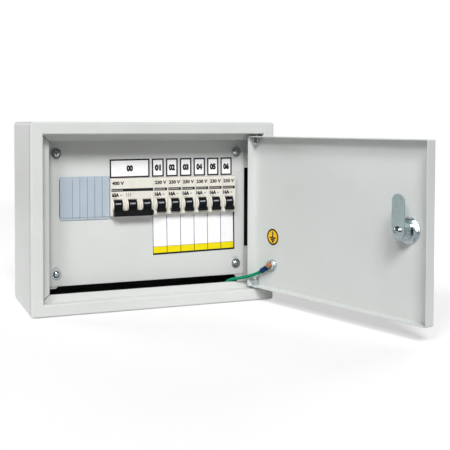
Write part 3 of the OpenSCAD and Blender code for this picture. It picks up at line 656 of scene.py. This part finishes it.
def rounded_outline(width: float, height: float, radius: float, steps: int = 4) -> List[Flat]:
    """Outline of a rounded rectangle around the origin.

    Args:
        width: size across.
        height: size up.
        radius: corner radius.
        steps: segments in each corner.

    Returns:
        Points in order.
    """
    points: List[Flat] = []
    for turn, (sx, sy) in enumerate(((1, 1), (-1, 1), (-1, -1), (1, -1))):
        for k in range(steps + 1):
            angle = math.radians(90 * turn + 90 * k / steps)
            points.append((
                sx * (width / 2 - radius) + radius * math.cos(angle),
                sy * (height / 2 - radius) + radius * math.sin(angle),
            ))
    return points


def ring_outline(radius: float, steps: int = 48) -> List[Flat]:
    """Points of a circle around the origin."""
    turns = (2 * math.pi * k / steps for k in range(steps))
    return [(radius * math.cos(a), radius * math.sin(a)) for a in turns]


class Printer:
    """Lays flat printed shapes on one face, as one thin mesh that looks along its own +Z."""

    def __init__(self, thickness: float) -> None:
        """Starts an empty print that stands off its face by a thickness."""
        self.work = bmesh.new()
        self.thickness = thickness

    def _ring(self, outline: Sequence[Flat], level: float) -> Verts:
        """Adds the points of an outline at one level."""
        return [self.work.verts.new(metres((x, y, level))) for x, y in outline]

    def patch(self, outline: Sequence[Flat], lip: float = 0.0) -> "Printer":
        """Adds one filled shape.

        Args:
            outline: its points in order.
            lip: how far its top edge is drawn in, for a cut film edge.

        Returns:
            The printer itself.
        """
        inset = 1.0 - lip / max(max(abs(x), abs(y)) for x, y in outline)
        low = self._ring(outline, 0.0)
        top = self._ring([(x * inset, y * inset) for x, y in outline], self.thickness)
        self.work.faces.new(top)
        self.work.faces.new(list(reversed(low)))
        strip(self.work, low, top)
        return self

    def bar(self, left: float, bottom: float, right: float, upper: float) -> "Printer":
        """Adds one rectangle of ink."""
        return self.patch([(left, bottom), (right, bottom), (right, upper), (left, upper)])

    def border(self, outer: Sequence[Flat], inner: Sequence[Flat]) -> "Printer":
        """Adds a closed line between two outlines of as many points.

        Args:
            outer: the line's outer edge.
            inner: its inner edge.

        Returns:
            The printer itself.
        """
        low_out, low_in = self._ring(outer, 0.0), self._ring(inner, 0.0)
        top_out, top_in = self._ring(outer, self.thickness), self._ring(inner, self.thickness)
        for pair in ((top_out, top_in), (low_in, low_out), (low_out, top_out), (top_in, low_in)):
            strip(self.work, *pair)
        return self

    def done(self, name: str) -> Piece:
        """Turns the print into a piece that lies in its own XY plane."""
        return close(name, self.work)


def figures(name: str, words: str, size: Flat, thickness: float, weight: float) -> Piece:
    """Generic figures as a thin mesh, centred on the origin and looking along +Z.

    Args:
        name: the piece's name.
        words: what it says.
        size: width and height of the whole print.
        thickness: how far the ink stands off.
        weight: how much bolder the strokes are, as a share of the height.

    Returns:
        The new piece.
    """
    wanted = metres(size)
    half = thickness * MM / 2
    curve = bpy.data.curves.new(name + "_curve", "FONT")
    curve.body = words
    curve.size = wanted[1]
    curve.offset = weight * wanted[1]
    curve.extrude = half
    curve.resolution_u = FIGURE_STEPS
    text = link(name + "_text", curve)
    bpy.context.view_layer.update()
    mesh = bpy.data.meshes.new_from_object(text.evaluated_get(bpy.context.evaluated_depsgraph_get()))
    bpy.data.objects.remove(text)
    spans = [
        (min(v.co[k] for v in mesh.vertices), max(v.co[k] for v in mesh.vertices)) for k in range(2)]
    middle = [-(low + high) / 2 for low, high in spans]
    fit = [length / (high - low) for length, (low, high) in zip(wanted, spans)]
    mesh.transform(Matrix.Diagonal((*fit, 1.0, 1.0)) @ Matrix.Translation((*middle, half)))
    return link(name, mesh)


def upright(at: Point, lean: float = 0.0, facing: Facing = Facing.FRONT) -> Matrix:
    """The move that stands a flat piece up on its face.

    Args:
        at: where its origin goes.
        lean: how far it is turned on its face, in degrees.
        facing: which way it looks.

    Returns:
        The move.
    """
    steps = ((facing.value, "Z"), (90.0, "X"), (lean, "Z"))
    first, second, third = (Matrix.Rotation(math.radians(angle), 4, axis) for angle, axis in steps)
    return Matrix.Translation(metres(at)) @ first @ second @ third


@dataclass
class SubAssembly:
    """Pieces of the box that are dressed together, and what rides on them."""

    finishes: Finishes
    LOOKS: ClassVar[Looks] = {}

    def dress(self) -> None:
        """Puts each finish on its CAD nodes."""
        for finish, nodes in self.LOOKS.items():
            for name in nodes:
                self.finishes.coat(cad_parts[name], finish)

    def settle(self, piece: Piece, finish: str, at: Matrix, body: Carrier, slot: str) -> None:
        """Finishes a piece, puts it in place and makes it ride on its body.

        Args:
            piece: the piece.
            finish: name of its finish.
            at: its place.
            body: the body that carries it.
            slot: not used.
        """
        self.finishes.coat(piece, finish)
        piece.matrix_world = at
        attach(piece, body.value if isinstance(body, Body) else body)
        LOG.info("%s rides on %s", piece.name, body)


@dataclass
class Door(SubAssembly):
    """The door with its earth fittings, and the sign on its inner face."""

    LOOKS: ClassVar[Looks] = {
        "door_paint": ["door_panel"],
        "zinc_plate": ["hinge_pins", "door_stud_washers", "door_stud_nut", "door_lug"],
        "door_stud_copper": ["door_stud"],
        "sleeve_plastic": ["door_lug_sleeve"],
    }
    sign_at: Flat = (101.2, -29.6)
    sign_r: float = 10.2
    sign_lip: float = 0.06
    sign_edge: float = 0.1
    sign_line: float = 2.1
    # The earth mark's half stroke, stem ends and bars, as shares of the sign's radius
    stroke: float = 0.095
    stem: Flat = (-0.02, 0.66)
    bars: Tuple[Flat, ...] = ((-0.10, 0.50), (-0.34, 0.33), (-0.56, 0.16))

    def build(self) -> None:
        """Makes the round earth sign: film, black rim and the earth mark."""
        r, rim, stroke = self.sign_r, self.sign_r - self.sign_edge, self.stroke * self.sign_r
        film = Printer(FILM).patch(ring_outline(r), lip=self.sign_lip).done("earth_sign_film")
        ink = Printer(INK).border(ring_outline(rim), ring_outline(rim - self.sign_line))
        ink.bar(-stroke, self.stem[0] * r, stroke, self.stem[1] * r)
        for level, half in self.bars:
            ink.bar(-half * r, level * r - stroke, half * r, level * r + stroke)
        mark = ink.done("earth_sign_mark")
        for piece, finish, lift in ((film, "sign_yellow", LIFT), (mark, "black_ink", FILM)):
            at = (self.sign_at[0], HINGE.face_y + lift, self.sign_at[1])
            place = HINGE.swing() @ upright(at, facing=Facing.INTO_BOX)
            self.settle(piece, finish, place, Body.DOOR, "door_paint")


@dataclass
class EarthBond(SubAssembly):
    """The green bonding wire from the door's stud to the box's, and the fittings at the box."""

    LOOKS: ClassVar[Looks] = {
        "zinc_plate": ["body_stud_washers", "body_stud_nut", "body_lug"],
        "body_stud_copper": ["body_stud"],
        "sleeve_plastic": ["body_lug_sleeve"],
    }
    diameter: float = 4.0
    turn: float = -30.0
    sleeve_end: float = 20.0
    sleeve_h: float = 4.3
    stud: Flat = (99.5, -63.0)
    box_end: Point = (66.0, -95.5, -104.7)
    lead: float = 2.0
    middle: Tuple[Point, ...] = (
        (129.5, -121.0, -75.9), (128.0, -119.0, -77.1), (126.0, -117.5, -78.5),
        (119.0, -114.0, -81.2), (112.5, -110.5, -82.8), (106.5, -107.0, -83.8),
        (101.0, -103.5, -84.7), (99.0, -102.0, -85.5), (96.8, -100.8, -86.9),
        (94.9, -100.2, -88.6), (91.5, -99.3, -92.3), (88.1, -98.2, -96.1),
        (84.6, -97.0, -99.8), (81.7, -96.3, -102.0), (78.1, -95.8, -103.7),
        (73.5, -95.5, -104.5),
    )
    # Not used: where the wire would start to follow the door, and where it would lie still in the
    # box
    bend_from: int = 4
    still: Point = (95.5, -100.4, -88.0)
    fairings: int = 3
    sides: int = 20
    fine: int = 5

    def route(self) -> List[Vector]:
        """Centreline of the wire, from the door's sleeve to the box's.

        Returns:
            Route points in metres.
        """
        across, up = math.cos(math.radians(self.turn)), math.sin(math.radians(self.turn))
        out = Vector(HINGE.turned((across, 0.0, up)))
        start = HINGE.moved((
            self.stud[0] + self.sleeve_end * across,
            HINGE.face_y + self.sleeve_h,
            self.stud[1] + self.sleeve_end * up,
        ))
        end = Vector(metres(self.box_end))
        middle = [Vector(metres(p)) for p in self.middle]
        lead = self.lead * MM
        return [start, start + lead * out, *middle, end + lead * Vector(ACROSS), end]

    def smooth(self, points: Sequence[Vector]) -> List[Vector]:
        """Fairs the route between its straight ends, and fills it in with a smooth curve.

        Args:
            points: the route.

        Returns:
            A closer, smooth centreline.
        """
        fair = [p.copy() for p in points]
        for _ in range(self.fairings):
            inner = [(fair[i - 1] + 2 * fair[i] + fair[i + 1]) / 4 for i in range(2, len(fair) - 2)]
            fair[2:-2] = inner
        line: List[Vector] = []
        for i in range(len(fair) - 1):
            before, here = fair[max(i - 1, 0)], fair[i]
            there, after = fair[i + 1], fair[min(i + 2, len(fair) - 1)]
            for k in range(self.fine):
                t = k / self.fine
                line.append(0.5 * (
                    2 * here + (there - before) * t
                    + (2 * before - 5 * here + 4 * there - after) * t * t
                    + (3 * here - before - 3 * there + after) * t ** 3
                ))
        line.append(fair[-1])
        return line

    def sweep(self, line: Sequence[Vector]) -> Piece:
        """Sweeps the wire's round section along its centreline.

        Args:
            line: the centreline, in metres.

        Returns:
            The wire.
        """
        work = bmesh.new()
        circle = ring_outline(0.5 * self.diameter * MM, self.sides)
        rings = []
        for i, centre in enumerate(line):
            tangent = (line[min(i + 1, len(line) - 1)] - line[max(i - 1, 0)]).normalized()
            side = tangent.cross(Vector(UP)).normalized()
            top = side.cross(tangent)
            rings.append([work.verts.new(centre + x * side + y * top) for x, y in circle])
        for low, high in zip(rings, rings[1:]):
            strip(work, low, high)
        work.faces.new(list(reversed(rings[0])))
        work.faces.new(rings[-1])
        wire = close("earth_bond_wire", work)
        wire.data.shade_smooth()
        return wire

    def build(self) -> None:
        """Makes the wire and hangs it between the door and the box."""
        line = self.smooth(self.route())
        wire = self.sweep(line)
        self.finishes.coat(wire, "green_sheath")
        length = sum((b - a).length for a, b in zip(line, line[1:]))
        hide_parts("earth_wire")
        metres(self.still)
        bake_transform(wire)
        LOG.info("%s is %.1f mm long", wire.name, length / MM)


@dataclass
class Enclosure(SubAssembly):
    """The folded box, its front frame and the false panel with its labels.

    A label's place is its middle across and up, its width and its height. The card's is its left,
    bottom, right and upper edge.
    """

    LOOKS: ClassVar[Looks] = {
        "body_paint": ["enclosure_body", "front_frame"],
        "panel_paint": ["false_panel", "panel_brackets"],
        "zinc_plate": ["pan_screws", "panel_washers", "din_rail", "rail_brackets"],
        "blank_plastic": ["blanking_strip"],
    }
    panel_y: float = -84.0
    film_lip: float = 0.05
    main_label: Rect = (-25.2, 54.35, 50.4, 22.9)
    branch_label: Rect = (10.4, 54.6, 15.8, 22.7)
    branch_pitch: float = 18.12
    branch_rise: float = 0.05
    label_r: float = 0.5
    label_inset: float = 0.3
    label_line: float = 1.9
    label_inner_r: float = 0.2
    label_lean: float = 0.5
    number: Flat = (8.0, 7.8)
    number_weight: float = 0.08
    card: Rect = (3.9, -51.5, 112.6, -4.1)
    card_r: float = 0.4
    card_lean: float = 0.95
    band: float = 9.7
    band_line: float = 0.4
    rule: float = 0.9
    rule_ink: float = 1.5 * INK
    base_line: float = 2.2
    base_ink: float = 2 * INK
    bore_r: float = 2.53
    rim_y: float = -112.02
    rim_top: float = 109.99
    sheet: float = 1.0
    foot: Tuple[Flat, ...] = ((115.2, -85.65), (118.0, -94.0), (148.5, -94.0), (148.5, -85.65))
    foot_y: float = -81.5
    foot_t: float = 1.5

    def _lay(self, piece: Piece, finish: str, at: Point, lean: float = 0.0) -> None:
        """Stands a flat piece up at the false panel, a little askew where it is stuck on."""
        self.settle(piece, finish, upright(at, lean), Body.BOX, "panel_paint")

    def build_label(self, name: str, number: str, spot: Rect) -> None:
        """Makes one bordered label with a plain number.

        Args:
            name: what its pieces are called.
            number: the number on it.
            spot: its place.
        """
        x, z, width, height = spot
        wide, high, lines = width - self.label_inset, height - self.label_inset, 2 * self.label_line
        film = Printer(FILM).patch(rounded_outline(width, height, self.label_r), lip=self.film_lip)
        border = Printer(INK).border(
            rounded_outline(wide, high, self.label_r),
            rounded_outline(wide - lines, high - lines, self.label_inner_r),
        )
        digits = (name + "_number", number, self.number, INK, self.number_weight)
        for piece, finish, level in (
            (film.done(name + "_film"), "label_film", LIFT),
            (border.done(name + "_border"), "black_ink", FILM),
            (figures(*digits), "black_ink", FILM),
        ):
            self._lay(piece, finish, (x, self.panel_y - level, z), self.label_lean)

    def build_card(self) -> None:
        """Makes the legend card under the branches: columns, a yellow band and a base line."""
        left, bottom, right, upper = self.card
        wide, high = right - left, upper - bottom
        x, z = (left + right) / 2, (bottom + upper) / 2
        edge, top, half = wide / 2, high / 2, self.rule / 2
        floor, head = self.base_line - top, self.band - top
        film = Printer(FILM).patch(rounded_outline(wide, high, self.card_r), lip=self.film_lip)
        band = Printer(INK).bar(-edge, floor, edge, head)
        rules, ticks = Printer(self.rule_ink), Printer(self.rule_ink)
        for k in range(BRANCHES):
            place = half - edge + k * (wide - 3 * half) / BRANCHES
            rules.bar(place - half, head, place + half, top)
            ticks.bar(place - half, floor, place + half, head)
        ticks.bar(-edge, head, edge, head + self.band_line)
        side = Printer(self.rule_ink).bar(edge - 2 * self.rule, floor, edge, top)
        base = Printer(self.base_ink).bar(-edge, -top, edge, floor)
        for printed, name, finish, level in (
            (film, "legend_card", "label_film", LIFT),
            (band, "legend_band", "yellow_ink", FILM),
            (rules, "legend_rules", "violet_ink", FILM),
            (ticks, "legend_ticks", "ochre_ink", FILM),
            (side, "legend_side", "navy_ink", FILM),
            (base, "legend_base_line", "black_ink", FILM),
        ):
            self._lay(printed.done(name), finish, (x, self.panel_y - level, z), self.card_lean)

    def build_infill(self) -> None:
        """Closes the outer rim, top and bottom, where the hinge pins' bores run out through it."""
        outline = [(x, min(y, self.rim_y - HINGE.pin[1])) for x, y in ring_outline(self.bore_r)]
        ends = {"rim_infill_top": self.rim_top - self.sheet, "rim_infill_bottom": -self.rim_top}
        for name, low in ends.items():
            infill = Printer(self.sheet).patch(outline).done(name)
            infill.data.transform(Matrix.Translation(metres((*HINGE.pin, low))))
            self.settle(infill, "body_paint", Matrix.Identity(4), Body.BOX, "body_paint")

    def build_foot(self) -> None:
        """Runs the lower right bracket on down behind the ledge, as in the photograph."""
        foot = Printer(self.foot_t).patch(self.foot).done("bracket_foot")
        self._lay(foot, "panel_paint", (0.0, self.foot_y, 0.0))

    def build(self) -> None:
        """Makes the rim's infill, the bracket's foot and all the labels of the false panel."""
        self.build_infill()
        self.build_foot()
        self.build_label("main_label", "00", self.main_label)
        x, z, width, height = self.branch_label
        for k, name in enumerate(numbered("branch_label", BRANCHES)):
            spot = (x + k * self.branch_pitch, z + k * self.branch_rise, width, height)
            self.build_label(name, "%02d" % (k + 1), spot)
        self.build_card()


@dataclass(frozen=True)
class Plate:
    """The generic ratings that one breaker's nose says."""

    voltage: str
    current: str
    poles: int


@dataclass
class BreakerRow(SubAssembly):
    """The breakers on their rail, with the print on their noses and levers.

    Marks beside the rating are bars: left, bottom, right and upper edge from the stripe's left end
    and the rating's height.
    """

    LOOKS: ClassVar[Looks] = {
        "ivory_plastic": ["main_case", *numbered("branch_case", BRANCHES)],
        "black_plastic": ["main_levers", "main_tie_bar", *numbered("branch_lever", BRANCHES)],
        "clip_plastic": numbered("main_clip", MAIN_POLES) + numbered("branch_clip", BRANCHES),
        "zinc_plate": ["terminal_screws", "bar_screws"],
        "copper": ["busbar_combs"],
        "busbar_plastic": ["busbar_insulation"],
        "brass_bar": ["neutral_bar", "earth_bar"],
        "blue_plastic": ["neutral_supports"],
        "green_plastic": ["earth_supports"],
    }
    first_x: float = -41.7
    pitch: float = 18.0
    nose_y: float = -90.5
    pivot: Flat = (-85.5, 10.0)
    drum_r: float = 7.5
    ink: float = 0.05
    # Gaps between the stripe's ends and the sides of the pole
    main_ends: Flat = (1.0, 0.9)
    branch_ends: Flat = (0.5, 1.1)
    stripe_z: float = 28.8
    stripe_h: float = 3.5
    field_w: float = 15.6
    field_r: float = 0.5
    dash: Flat = (0.75, 1.5)
    dash_pitch: float = 1.35
    dash_margin: float = 0.75
    dash_ink: float = 0.075
    voltage_at: Flat = (0.7, 37.0)
    voltage: Flat = (14.8, 4.3)
    voltage_weight: float = 0.05
    rating_at: Flat = (0.6, 23.0)
    rating: Flat = (8.7, 5.0)
    rating_weight: float = 0.075
    supply_mark: Rect = (10.6, -0.9, 13.0, 0.2)
    small_print: Rect = (1.2, -4.4, 7.2, -3.9)
    pole_mark: Rect = (18.4, -2.2, 19.2, 2.2)
    pole_mark_pitch: float = 2.4
    mark: Flat = (7.2, 1.8)
    mark_weight: float = 0.04
    mark_angle: float = 19.5
    mark_sunk: float = 0.02

    def pole_x(self, index: int) -> float:
        """Middle of a pole."""
        return self.first_x + index * self.pitch

    def _lay(self, piece: Piece, finish: str, x: float, z: float) -> None:
        """Lays a print on a nose."""
        self.settle(piece, finish, upright((x, self.nose_y, z)), Body.BOX, "ivory_plastic")

    def build_stripe(self, name: str, left: float, right: float) -> None:
        """Prints one nose's stripe, which starts as a dashed field.

        Args:
            name: what its pieces are called.
            left: left end of the stripe.
            right: right end of the stripe.
        """
        split = min(left + self.field_w, right)
        wide, half = split - left, self.stripe_h / 2
        dash_w, dash_half = self.dash[0], self.dash[1] / 2
        ground = Printer(self.ink).patch(rounded_outline(wide, self.stripe_h, self.field_r))
        self._lay(ground.done(name + "_field"), "black_ink", left + wide / 2, self.stripe_z)
        dashes = Printer(self.dash_ink)
        for k in range(int((wide - 2 * self.dash_margin) / self.dash_pitch)):
            start = left + self.dash_margin + self.dash_pitch * k
            dashes.bar(start, -dash_half, start + dash_w, dash_half)
        self._lay(dashes.done(name + "_field_dashes"), "dash_ink", 0.0, self.stripe_z)
        if right > split:
            stripe = Printer(self.ink).bar(split, -half, right, half)
            self._lay(stripe.done(name + "_stripe"), "black_ink", 0.0, self.stripe_z)

    def build_nose(self, name: str, left: float, right: float, plate: Plate) -> None:
        """Prints one nose: a stripe, a voltage, a current rating and the marks beside it.

        Args:
            name: what its pieces are called.
            left: left end of the stripe.
            right: right end of the stripe.
            plate: what the nose says.
        """
        self.build_stripe(name, left, right)
        for part, words, size, (gap, z), weight in (
            ("_voltage", plate.voltage, self.voltage, self.voltage_at, self.voltage_weight),
            ("_rating", plate.current, self.rating, self.rating_at, self.rating_weight),
        ):
            said = figures(name + part, words, size, self.ink, weight)
            self._lay(said, "black_ink", left + gap + size[0] / 2, z)
        marks = Printer(self.ink).bar(*self.supply_mark).bar(*self.small_print)
        start, bottom, end, upper = self.pole_mark
        for k in range(plate.poles if plate.poles > 1 else 0):
            shift = self.pole_mark_pitch * k
            marks.bar(start + shift, bottom, end + shift, upper)
        self._lay(marks.done(name + "_marks"), "pale_ink", left, self.rating_at[1])

    def build_mark(self, index: int, body: Carrier) -> None:
        """Prints OFF on a lever's drum, above its handle.

        Args:
            index: which pole.
            body: the handle's body.
        """
        mark = figures("lever_mark_%d" % (index + 1), "OFF", self.mark, self.ink, self.mark_weight)
        lean, reach = math.radians(self.mark_angle), self.drum_r - self.mark_sunk
        y, z = self.pivot[0] - reach * math.cos(lean), self.pivot[1] + reach * math.sin(lean)
        tilt = Matrix.Rotation(math.radians(90 - self.mark_angle), 4, "X")
        place = Matrix.Translation(metres((self.pole_x(index), y, z))) @ tilt
        self.settle(mark, "white_ink", place, body, "black_plastic")

    def build(self) -> None:
        """Prints every nose and lever."""
        half = self.pitch / 2
        left, right = self.first_x - half, self.pole_x(MAIN_POLES - 1) + half
        main, branch = Plate("400 V", "63A", MAIN_POLES), Plate("230 V", "16A", 1)
        self.build_nose("main_nose", left + self.main_ends[0], right - self.main_ends[1], main)
        for k in range(MAIN_POLES):
            self.build_mark(k, Body.MAIN_HANDLE)
        for pole in range(MAIN_POLES, MAIN_POLES + BRANCHES):
            number, x = pole - MAIN_POLES + 1, self.pole_x(pole)
            ends = (x - half + self.branch_ends[0], x + half - self.branch_ends[1])
            self.build_nose("branch_nose_%d" % number, *ends, branch)
            self.build_mark(pole, "branch_handle_%d" % number)


@dataclass
class LockSet(SubAssembly):
    """The cam lock through the door."""

    LOOKS: ClassVar[Looks] = {
        "lock_nickel": ["lock_barrel", "lock_nut", "lock_core"],
        "zinc_plate": ["lock_washer", "cam_screw"],
        "cam_zinc": ["lock_cam"],
    }


@dataclass(frozen=True)
class SoftBox:
    """One square soft box: where it hangs, how large and how strong it is."""

    name: str
    at: Point
    size: float
    watts: float
    aim: Point = (0.0, -0.08, 0.0)

    def build(self) -> None:
        """Hangs the soft box."""
        data = bpy.data.lights.new(self.name, "AREA")
        data.size = self.size
        data.energy = self.watts
        lamp = link(self.name, data)
        lamp.location = self.at
        lamp.rotation_mode = "QUATERNION"
        lamp.rotation_quaternion = (Vector(self.aim) - Vector(self.at)).to_track_quat("-Z", "Y")


@dataclass
class Studio:
    """Camera, pale floor and soft light, in metres."""

    image: int = 450
    sensor: float = 36.0
    focal_px: float = 816.8
    centre_px: Flat = (198.0, 153.0)
    position: Point = (-0.3048, -1.0304, 0.1068)
    yaw: float = 21.24
    pitch: float = 1.97
    roll: float = 0.11
    floor_z: float = -0.1105
    floor_half: float = 6.0
    paper: Tuple[Colour, Colour] = ((0.62, 0.62, 0.62), (0.66, 0.66, 0.66))
    paper_haze: Grain = (2.0, 2.0, 0.5)
    paper_rough: float = 0.9
    # How far out the floor fades into the backdrop, and how much it glows in the picture before that
    fade: Flat = (0.7, 1.6)
    glow: float = 0.34
    surround: float = 0.075
    backdrop: float = 1.0
    boxes: Tuple[SoftBox, ...] = (
        SoftBox("key_softbox", (-1.0, -4.0, 3.6), 1.5, 211.0),
        SoftBox("side_softbox", (-3.1, -3.25, 3.1), 1.25, 105.0),
        SoftBox("rear_softbox", (-1.3, 1.2, 0.5), 0.8, 15.5),
        SoftBox("fill_softbox", (1.6, 0.5, 0.6), 1.0, 14.0),
    )
    exposure: float = 0.0

    def build_camera(self) -> None:
        """Sets the camera where the photograph was taken from."""
        data = bpy.data.cameras.new("photo_camera")
        data.sensor_width = self.sensor
        data.lens = self.sensor * self.focal_px / self.image
        data.shift_x = (self.image / 2 - self.centre_px[0]) / self.image
        data.shift_y = (self.centre_px[1] - self.image / 2) / self.image
        camera = link("photo_camera", data)
        camera.matrix_world = (
            Matrix.Translation(self.position)
            @ Matrix.Rotation(math.radians(-self.yaw), 4, "Z")
            @ Matrix.Rotation(math.radians(90 - self.pitch), 4, "X")
            @ Matrix.Rotation(math.radians(self.roll), 4, "Z")
        )
        bpy.context.scene.camera = camera

    def build_floor(self) -> None:
        """Lays the pale floor, which runs out into the white backdrop."""
        mesh = bpy.data.meshes.new("studio_floor")
        corners = ((-1, -1), (1, -1), (1, 1), (-1, 1))
        points = [(sx * self.floor_half, sy * self.floor_half, self.floor_z) for sx, sy in corners]
        mesh.from_pydata(points, [], [(0, 1, 2, 3)])
        floor = link("studio_floor", mesh)
        r = Recipe("studio_floor")
        where = r.place()
        far = r.vector("LENGTH", "Value", where).step(*self.fade)
        paper = r.mix(*self.paper, r.noise(where, self.paper_haze))
        shown = r.mix((self.glow,) * 3, (self.backdrop,) * 3, far)
        r.feed("Base Color", r.mix(paper, BLACK, far))
        r.feed("Emission Color", r.mix(BLACK, shown, r.in_picture()))
        r.feed("Emission Strength", 1.0)
        r.feed("Roughness", self.paper_rough)
        floor.data.materials.append(r.material)

    def build(self) -> None:
        """Sets up the floor, the soft boxes and the surround, white in the picture alone."""
        self.build_floor()
        sky = Surround("studio_surround")
        sky.feed("Color", sky.mix((self.surround,) * 3, (self.backdrop,) * 3, sky.in_picture()))
        scene = bpy.context.scene
        scene.world = sky.world
        scene.view_settings.view_transform = "Standard"
        scene.view_settings.exposure = self.exposure
        for box in self.boxes:
            box.build()


def write_sizes() -> None:
    """Brings the scene's placements up to date."""
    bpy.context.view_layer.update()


def main() -> None:
    """Builds the studio and dresses the box, piece by piece."""
    logging.basicConfig(level=logging.INFO, format="%(name)s: %(message)s")
    studio = Studio()
    studio.build_camera()
    finishes = Finishes()
    finishes.make()
    for part in (EarthBond(finishes), Enclosure(finishes), BreakerRow(finishes), Door(finishes)):
        part.dress()
        part.build()
    LockSet(finishes).dress()
    studio.build()
    write_sizes()


if __name__ == "__main__":
    main()
